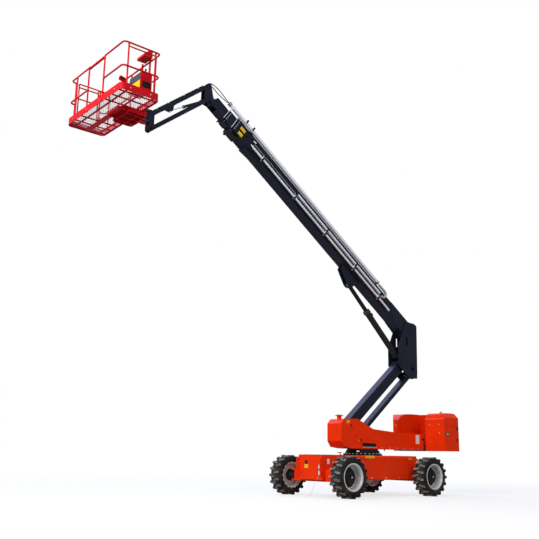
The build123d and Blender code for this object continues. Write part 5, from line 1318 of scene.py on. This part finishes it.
class LIFT_OT_jib_parts(bpy.types.Operator):
    """Adds hoses, pin keepers, guards and the rotator's fittings to the fly head and jib"""

    bl_idname = "lift.jib_parts"
    bl_label = "Jib parts"

    def execute(self, context):
        sizes = context.scene.lift_sizes
        bolt = sizes.bolt
        bm = bmesh.new()
        for side in (1, -1):
            out = Vector((0, side, 0))
            x, z = JIB_TOP_PIN
            put_rod(bm, (x, side * 0.086, z), (x, side * 0.094, z), 0.052, 36)
            put_bolt(bm, (x - 0.030, side * 0.094, z + 0.030), out, bolt * 0.8)
            put_box(
                bm, (5.085, side * 0.090, 9.40), (0.060, 0.006, 0.30), Matrix.Rotation(radians(9), 4, "Y"),
            )
        new_piece("head_bosses", bm, "fly_head", finish_of("boom_paint"), 0.002)
        bm = bmesh.new()
        for side in (1, -1):
            at = Vector((5.030, side * 0.117, 9.170))
            put_rod(bm, at, at + Vector((0, side * 0.010, 0)), 0.052, 36)
            for count in range(4):
                angle = 2 * pi * (count + 0.5) / 4
                put_bolt(bm, at + Vector((cos(angle), 0, sin(angle))) * 0.058, (0, side, 0), bolt * 0.7)
        new_piece("knuckle_caps", bm, "boom_fly", finish_of("dark_steel"), 0.001)
        bm = bmesh.new()
        for shift in (-0.030, 0.0, 0.030):
            put_tube(bm, smooth_run([
                (5.040, shift, 9.30), (5.070, shift, 9.46), (5.090, shift, 9.555), (5.110, shift, 9.580),
                (5.150, shift, 9.582),
            ]), sizes.hose)
        new_piece("head_hoses", bm, "fly_head", finish_of("black_hose"))
        bm = bmesh.new()
        for shift in (-0.024, 0.0, 0.024):
            points = [
                along_beam(JIB_TOP_PIN, JIB_ANGLE, along, 0.0475 + sizes.hose + 0.001, shift)
                for along in (0.06, 0.35, 0.8, 1.3, 1.78)
            ]
            put_tube(bm, smooth_run(points, 4), sizes.hose * 0.9)
        new_piece("jib_hoses", bm, "jib_upper", finish_of("black_hose"))
        bm = bmesh.new()
        for along in (0.25, 0.75, 1.25, 1.65):
            at = along_beam(JIB_TOP_PIN, JIB_ANGLE, along, 0.059)
            put_box(bm, at, (0.030, 0.090, 0.026), beam_axes(JIB_ANGLE))
        new_piece("jib_hose_clamps", bm, "jib_upper", finish_of("zinc_bolt"), 0.002)
        bm = bmesh.new()
        for spot in (JIB_PIN, JIB_END):
            for side in (1, -1):
                put_rod(bm, (spot[0], side * 0.129, spot[1]), (spot[0], side * 0.133, spot[1]), 0.036, 36)
        for along in (0.58, 1.28):
            for side in (1, -1):
                at = along_beam(JIB_PIN, JIB_ANGLE, along, 0.0, side * 0.1295)
                put_box(bm, at, (0.12, 0.004, 0.06), beam_axes(JIB_ANGLE))
        new_piece("jib_lower_bosses", bm, "jib_lower", finish_of("boom_paint"), 0.001)
        bm = bmesh.new()
        for height in (8.150, 8.410):
            put_ring(bm, (ROTATOR_X, 0, height), (0, 0, 1), 0.085, 0.006, 48)
        for count in range(8):
            angle = 2 * pi * count / 8
            put_bolt(bm, (ROTATOR_X + 0.070 * cos(angle), 0.070 * sin(angle), 8.435), UP, 0.012)
        for side in (1, -1):
            put_box(bm, (6.712, side * 0.050, 8.300), (0.030, 0.030, 0.050))
        new_piece("rotator_fittings", bm, "jib_end", finish_of("cast_steel"), 0.0015)
        eye = along_beam(JIB_TOP_PIN, JIB_ANGLE, 1.283, -0.112)
        angle = atan2(eye.z - JIB_PIN[1], eye.x - JIB_PIN[0])
        bm = bmesh.new()
        for along in (0.655, 0.690):
            put_rod(
                bm, along_beam(JIB_PIN, angle, along, 0), along_beam(JIB_PIN, angle, along + 0.012, 0),
                0.040, 32,
            )
        put_box(bm, along_beam(JIB_PIN, angle, 0.120, 0.038), (0.050, 0.040, 0.022), beam_axes(angle))
        new_piece("jib_cylinder_gland", bm, "jib_cylinder_barrel", finish_of("cast_steel"), 0.001)
        return {"FINISHED"}


# Basket
BASKET_LOW = (7.131, -1.220, 8.070)
BASKET_HIGH = (8.041, 1.220, 8.230)
FLOOR_Z = 8.098
RAIL_FRONT = 8.018
RAIL_REAR = 7.154
RAIL_SIDE = 1.197
RAIL_TOP = 9.150


class LIFT_OT_basket_floor(bpy.types.Operator):
    """Builds the basket's floor of expanded mesh on thin cross members, in place of the plain plate"""

    bl_idname = "lift.basket_floor"
    bl_label = "Basket floor"

    def execute(self, context):
        sizes = context.scene.lift_sizes
        low_x, high_x = BASKET_LOW[0] + 0.006, BASKET_HIGH[0] - 0.006
        low_y, high_y = BASKET_LOW[1] + 0.006, BASKET_HIGH[1] - 0.006
        mid_x = (low_x + high_x) / 2
        corner = 0.085
        bm = bmesh.new()
        pitch, thick = sizes.mesh_pitch, sizes.mesh_bar
        slope = 0.55
        count = int((high_x - low_x + (high_y - low_y) * slope) / pitch)
        for way in (1, -1):
            for step in range(count + 1):
                start = low_x + step * pitch if way > 0 else high_x - step * pitch
                ends = [(start - way * slope * (y - low_y), y) for y in (low_y, high_y)]
                (x0, y0), (x1, y1) = ends
                limits = (low_x + 0.002, high_x - 0.002)
                run = []
                for edge in limits:
                    if (x0 - edge) * (x1 - edge) < 0:
                        run.append((edge, y0 + (y1 - y0) * (edge - x0) / (x1 - x0)))
                for x, y in ends:
                    if limits[0] <= x <= limits[1]:
                        run.append((x, y))
                if len(run) != 2:
                    continue
                a, b = (Vector((*p, FLOOR_Z)) for p in run)
                if (b - a).length < 0.12:
                    continue
                turn = (b - a).to_track_quat("X", "Z").to_matrix().to_4x4()
                put_box(bm, (a + b) / 2, ((b - a).length, thick, 0.003), turn)
        mesh_floor = new_piece("basket_floor_mesh", bm, "basket", finish_of("floor_mesh"))
        bm = bmesh.new()
        for y in (-1.12, -0.83, -0.54, 0.54, 0.83, 1.12):
            put_box(bm, (mid_x, y, 8.084), (high_x - low_x - 0.02, 0.030, 0.024))
        for shift in (-0.30, 0.0, 0.30):
            put_box(bm, (mid_x + shift, 0, 8.0835), (0.034, high_y - low_y - 0.06, 0.024))
        for x in (low_x + 0.012, high_x - 0.012):
            put_box(bm, (x, 0, FLOOR_Z - 0.002), (0.026, high_y - low_y - 2 * corner, 0.006))
        for y in (low_y + 0.012, high_y - 0.012):
            put_box(bm, (mid_x, y, FLOOR_Z - 0.002), (high_x - low_x - 2 * corner, 0.026, 0.006))
        members = new_piece(
            "basket_floor_members", bm, "basket", finish_of("basket_paint"), 0.002,
        )
        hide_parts("basket_floor")
        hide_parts("basket_floor")
        return {"FINISHED"}


class LIFT_OT_basket_parts(bpy.types.Operator):
    """Adds rail clamps, end plugs, the gate's latch, bolts and the entry bar's rings to the basket"""

    bl_idname = "lift.basket_parts"
    bl_label = "Basket parts"

    def execute(self, context):
        bolt = context.scene.lift_sizes.bolt
        posts = [
            (RAIL_FRONT, 0.380), (RAIL_FRONT, -0.330), (RAIL_FRONT, -0.900),
            (7.905, -RAIL_SIDE), (7.300, -RAIL_SIDE),
            (RAIL_REAR, -1.020), (RAIL_REAR, 0.0), (RAIL_REAR, 1.020),
            (7.270, RAIL_SIDE), (7.905, RAIL_SIDE),
        ]
        bm = bmesh.new()
        for x, y in posts:
            put_rod(bm, (x, y, 8.103), (x, y, 8.110), 0.034, 28)
            put_ring(bm, (x, y, 8.232), (0, 0, 1), 0.0205, 0.0035, 28)
        for x, y in posts:
            for z in (8.620, 9.130):
                put_ring(bm, (x, y, z - 0.021), (0, 0, 1), 0.0205, 0.0030, 28)
        new_piece("post_welds", bm, "basket", finish_of("basket_paint"))
        bm = bmesh.new()
        for y in (-0.95, -0.30, 0.30, 0.95):
            put_bolt(bm, (BASKET_HIGH[0], y, 8.15), (1, 0, 0), bolt * 0.8)
            put_bolt(bm, (BASKET_LOW[0], y, 8.15), (-1, 0, 0), bolt * 0.8)
        for x in (7.35, 7.82):
            for side in (1, -1):
                put_bolt(bm, (x, side * BASKET_HIGH[1], 8.15), (0, side, 0), bolt * 0.8)
        new_piece("toe_board_bolts", bm, "basket", finish_of("zinc_bolt"), 0.0008)
        bm = bmesh.new()
        put_rod(bm, (7.905, -RAIL_SIDE, RAIL_TOP), (7.880, -RAIL_SIDE, RAIL_TOP), 0.0205, 24)
        put_rod(bm, (7.300, -RAIL_SIDE, RAIL_TOP), (7.326, -RAIL_SIDE, RAIL_TOP), 0.0205, 24)
        put_rod(bm, (RAIL_FRONT, -0.330, RAIL_TOP), (RAIL_FRONT, -0.305, RAIL_TOP), 0.0205, 24)
        new_piece("rail_plugs", bm, "basket", finish_of("black_hose"), 0.002)
        bm = bmesh.new()
        put_box(bm, (7.845, -RAIL_SIDE + 0.004, 8.840), (0.050, 0.036, 0.090))
        put_rod(bm, (7.860, -RAIL_SIDE, 8.840), (7.884, -RAIL_SIDE, 8.840), 0.009, 16)
        new_piece("gate_latch", bm, "basket_gate", finish_of("zinc_bolt"), 0.002)
        bm = bmesh.new()
        put_rod(bm, (RAIL_FRONT, 0.020, 9.120), (RAIL_FRONT, 0.060, 9.120), 0.032, 32)
        put_rod(bm, (RAIL_FRONT, -0.280, 9.120), (RAIL_FRONT, -0.250, 9.120), 0.031, 32)
        new_piece("entry_bar_rings", bm, "entry_bar", finish_of("basket_paint"), 0.002)
        bm = bmesh.new()
        for y in (-0.15, 0.15, 0.55):
            for x in (7.14, 7.44):
                put_bolt(bm, (x, y, 8.052), UP, bolt)
        for z in (8.15, 8.25, 8.38):
            for side in (1, -1):
                put_bolt(bm, (6.905, side * 0.065, z), (0, side, 0), bolt)
        new_piece("support_bolts", bm, "basket", finish_of("zinc_bolt"), 0.0008)
        return {"FINISHED"}


class LIFT_OT_console_parts(bpy.types.Operator):
    """Adds the control panel with its levers, buttons and blank plates"""

    bl_idname = "lift.console_parts"
    bl_label = "Control panel"

    def execute(self, context):
        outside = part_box("console")[1].y + 0.001
        left, right = 0.480, 0.900
        top_z = 8.770
        bm = bmesh.new()
        put_box(bm, (7.300, (left + right) / 2, top_z + 0.006), (0.25, right - left, 0.014))
        new_piece("panel_face", bm, "basket", finish_of("panel_grey"), 0.003)
        bm = bmesh.new()
        for y in (left + 0.090, right - 0.090):
            put_rod(bm, (7.280, y, top_z + 0.012), (7.280, y, top_z + 0.035), 0.034, 28, 0.020)
            put_rod(bm, (7.280, y, top_z + 0.030), (7.270, y, top_z + 0.110), 0.008, 14)
            put_rod(bm, (7.271, y, top_z + 0.100), (7.266, y, top_z + 0.155), 0.017, 20, 0.021)
        new_piece("panel_levers", bm, "basket", finish_of("black_hose"), 0.002)
        bm = bmesh.new()
        for column in range(4):
            for row in range(2):
                at = Vector((7.345 + row * 0.045, left + 0.150 + column * 0.040, top_z + 0.012))
                put_rod(bm, at, at + UP * 0.010, 0.010, 18)
        new_piece("panel_switches", bm, "basket", finish_of("plate_white"), 0.001)
        bm = bmesh.new()
        at = Vector((7.215, (left + right) / 2, top_z + 0.012))
        put_rod(bm, at + UP * 0.020, at + UP * 0.038, 0.024, 32, 0.020)
        new_piece("panel_stop_button", bm, "basket", finish_of("button_red"), 0.003)
        bm = bmesh.new()
        put_rod(bm, at, at + UP * 0.021, 0.016, 24)
        put_box(bm, at + UP * 0.001, (0.070, 0.070, 0.004))
        put_box(bm, (7.4495, 0.69, 8.498), (0.004, 0.44, 0.170))
        new_piece("panel_yellow", bm, "basket", finish_of("label_yellow"), 0.001)
        bm = bmesh.new()
        put_box(bm, (7.447, 0.69, 8.675), (0.004, 0.44, 0.150))
        new_piece("panel_grey_plates", bm, "basket", finish_of("panel_grey"), 0.001)
        bm = bmesh.new()
        put_box(bm, (7.30, outside, 8.500), (0.20, 0.004, 0.140))
        new_piece("panel_window", bm, "basket", finish_of("black_hose"), 0.001)
        bm = bmesh.new()
        put_box(bm, (7.600, 0.445, 8.700), (0.200, 0.014, 0.090), Matrix.Rotation(radians(-14), 4, "Y"))
        put_box(bm, (7.600, 0.475, 8.735), (0.180, 0.060, 0.012), Matrix.Rotation(radians(-14), 4, "Y"))
        put_box(bm, (7.480, 0.470, 8.640), (0.090, 0.040, 0.030))
        new_piece("pedal_guard", bm, "basket", finish_of("basket_paint"), 0.003)
        bm = bmesh.new()
        put_rod(bm, (7.640, 0.470, 8.712), (7.640, 0.505, 8.712), 0.026, 28)
        new_piece("pedal_knob", bm, "basket", finish_of("black_hose"), 0.003)
        return {"FINISHED"}


# Stage
class LIFT_OT_stage(bpy.types.Operator):
    """Builds the pale floor, the soft lamps, the background and the camera"""

    bl_idname = "lift.stage"
    bl_label = "Stage"

    def execute(self, context):
        scene = context.scene
        self.build_floor(scene)
        self.build_background(scene)
        for name, place, target, size, power, colour in (
            ("key_lamp", (19, 3, 15), (1, 0, 4), 11.0, 3700.0, (1.0, 0.985, 0.96)),
            ("side_lamp", (6, 20, 10), (1, 0, 4), 12.0, 1300.0, (0.96, 0.98, 1.0)),
            ("back_lamp", (-4, -14, 15), (0, 0, 4), 12.0, 2600.0, (0.48, 0.58, 1.0)),
        ):
            data = bpy.data.lights.new(name, "AREA")
            data.shape = "DISK"
            data.size = size
            data.energy = power
            data.color = colour
            lamp = bpy.data.objects.new(name, data)
            scene.collection.objects.link(lamp)
            lamp.location = place
            lamp.rotation_mode = "QUATERNION"
            lamp.rotation_quaternion = (Vector(target) - Vector(place)).to_track_quat("-Z", "Y")
        self.place_camera(scene)
        scene.view_settings.view_transform = "Standard"
        return {"FINISHED"}

    @staticmethod
    def build_floor(scene):
        """A wide level floor that keeps the machine's shadow"""
        reach = 400.0
        bm = bmesh.new()
        bmesh.ops.create_grid(bm, x_segments=4, y_segments=4, size=reach)
        mesh = bpy.data.meshes.new("floor")
        bm.to_mesh(mesh)
        bm.free()
        floor = bpy.data.objects.new("floor", mesh)
        scene.collection.objects.link(floor)
        material = bpy.data.materials.new("studio_floor")
        material.use_nodes = True
        tree = material.node_tree
        shader = tree.nodes["Principled BSDF"]
        shader.inputs["Roughness"].default_value = 0.85
        place = add_node(tree, "ShaderNodeNewGeometry", (-900, 0))
        clouds = add_noise(tree, (-700, 0), place.outputs["Position"], 0.6)
        glow = add_node(tree, "ShaderNodeEmission", (0, -300))
        glow.inputs["Color"].default_value = (1, 1, 1, 1)
        path = add_node(tree, "ShaderNodeLightPath", (-600, -400))
        seen = add_math(
            tree, "MAXIMUM", (-300, -400), path.outputs["Is Camera Ray"], path.outputs["Is Glossy Ray"],
        )
        dull = mix_colour(tree, (-500, 200), clouds, (0.30, 0.30, 0.30), (0.34, 0.34, 0.34))
        pale = mix_colour(tree, (-500, 0), clouds, (0.84, 0.84, 0.84), (0.88, 0.88, 0.88))
        tree.links.new(mix_colour(tree, (-300, 0), seen, dull, pale), shader.inputs["Base Color"])
        away = add_node(tree, "ShaderNodeVectorMath", (-600, -600), operation="LENGTH")
        tree.links.new(place.outputs["Position"], away.inputs[0])
        fade = add_range(tree, (-400, -600), away.outputs["Value"], 5.0, 16.0, 0.72, 1.0)
        share = add_math(tree, "MULTIPLY", (-120, -400), seen, fade)
        blend = add_node(tree, "ShaderNodeMixShader", (300, 0))
        tree.links.new(share, blend.inputs[0])
        tree.links.new(shader.outputs[0], blend.inputs[1])
        tree.links.new(glow.outputs[0], blend.inputs[2])
        tree.links.new(blend.outputs[0], tree.nodes["Material Output"].inputs["Surface"])
        mesh.materials.append(material)

    @staticmethod
    def build_background(scene):
        """White where it is seen, straight or in metal and glass, and a soft grey light elsewhere"""
        world = bpy.data.worlds.new("studio")
        scene.world = world
        world.use_nodes = True
        tree = world.node_tree
        light = tree.nodes["Background"]
        light.inputs["Color"].default_value = (0.92, 0.95, 1.0, 1)
        light.inputs["Strength"].default_value = 0.30
        white = add_node(tree, "ShaderNodeBackground", (0, -200))
        white.inputs["Color"].default_value = (1, 1, 1, 1)
        path = add_node(tree, "ShaderNodeLightPath", (-600, 200))
        mirrored = add_math(
            tree, "MAXIMUM", (-450, 100), path.outputs["Is Glossy Ray"], path.outputs["Is Transmission Ray"],
        )
        seen = add_math(tree, "MAXIMUM", (-300, 200), path.outputs["Is Camera Ray"], mirrored)
        blend = add_node(tree, "ShaderNodeMixShader", (200, 0))
        tree.links.new(seen, blend.inputs[0])
        tree.links.new(light.outputs[0], blend.inputs[1])
        tree.links.new(white.outputs[0], blend.inputs[2])
        tree.links.new(blend.outputs[0], tree.nodes["World Output"].inputs["Surface"])

    @staticmethod
    def place_camera(scene):
        """The photograph's view: low, in front of the machine and on its left"""
        data = bpy.data.cameras.new("camera")
        data.lens = scene.lift_sizes.lens
        data.sensor_width = SENSOR_WIDTH
        data.clip_start, data.clip_end = 0.1, 2000.0
        camera = bpy.data.objects.new("camera", data)
        scene.collection.objects.link(camera)
        yaw, pitch, roll = CAMERA_YAW, CAMERA_PITCH, CAMERA_ROLL
        ahead = Vector((cos(yaw) * cos(pitch), sin(yaw) * cos(pitch), sin(pitch)))
        right = Vector((sin(yaw), -cos(yaw), 0))
        above = right.cross(ahead)
        side = right * cos(roll) + above * sin(roll)
        top = above * cos(roll) - right * sin(roll)
        turn = Matrix((side, top, -ahead)).transposed()
        camera.matrix_world = Matrix.Translation(CAMERA_PLACE) @ turn.to_4x4()
        scene.camera = camera


OPERATORS = (
    LIFT_OT_finishes,
    LIFT_OT_wheel_parts,
    LIFT_OT_chassis_parts,
    LIFT_OT_turntable_parts,
    LIFT_OT_hood_parts,
    LIFT_OT_riser_parts,
    LIFT_OT_lift_cylinder_parts,
    LIFT_OT_boom_parts,
    LIFT_OT_chain_parts,
    LIFT_OT_free_hoses,
    LIFT_OT_jib_parts,
    LIFT_OT_basket_floor,
    LIFT_OT_basket_parts,
    LIFT_OT_console_parts,
    LIFT_OT_stage,
)


class LIFT_PT_panel(bpy.types.Panel):
    """Lists the lift's colours, sizes and steps"""

    bl_idname = "LIFT_PT_panel"
    bl_label = "Boom lift"
    bl_space_type = "VIEW_3D"
    bl_region_type = "UI"
    bl_category = "Boom Lift"

    def draw(self, context):
        layout = self.layout
        for group in (context.scene.lift_colours, context.scene.lift_sizes):
            for name in group.__annotations__:
                layout.prop(group, name)
        for operator in OPERATORS:
            layout.operator(operator.bl_idname)


CLASSES = (LiftColours, LiftSizes, *OPERATORS, LIFT_PT_panel)


def register():
    """Registers the classes and their settings."""
    for item in CLASSES:
        bpy.utils.register_class(item)
    bpy.types.Scene.lift_colours = bpy.props.PointerProperty(type=LiftColours)
    bpy.types.Scene.lift_sizes = bpy.props.PointerProperty(type=LiftSizes)


def unregister():
    """Takes the classes and settings away."""
    del bpy.types.Scene.lift_sizes
    del bpy.types.Scene.lift_colours
    for item in reversed(CLASSES):
        bpy.utils.unregister_class(item)


def main():
    """Registers the add-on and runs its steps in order."""
    register()
    for operator in OPERATORS:
        group, name = operator.bl_idname.split(".")
        getattr(getattr(bpy.ops, group), name)()
    bpy.context.view_layer.update()


if __name__ == "__main__":
    main()
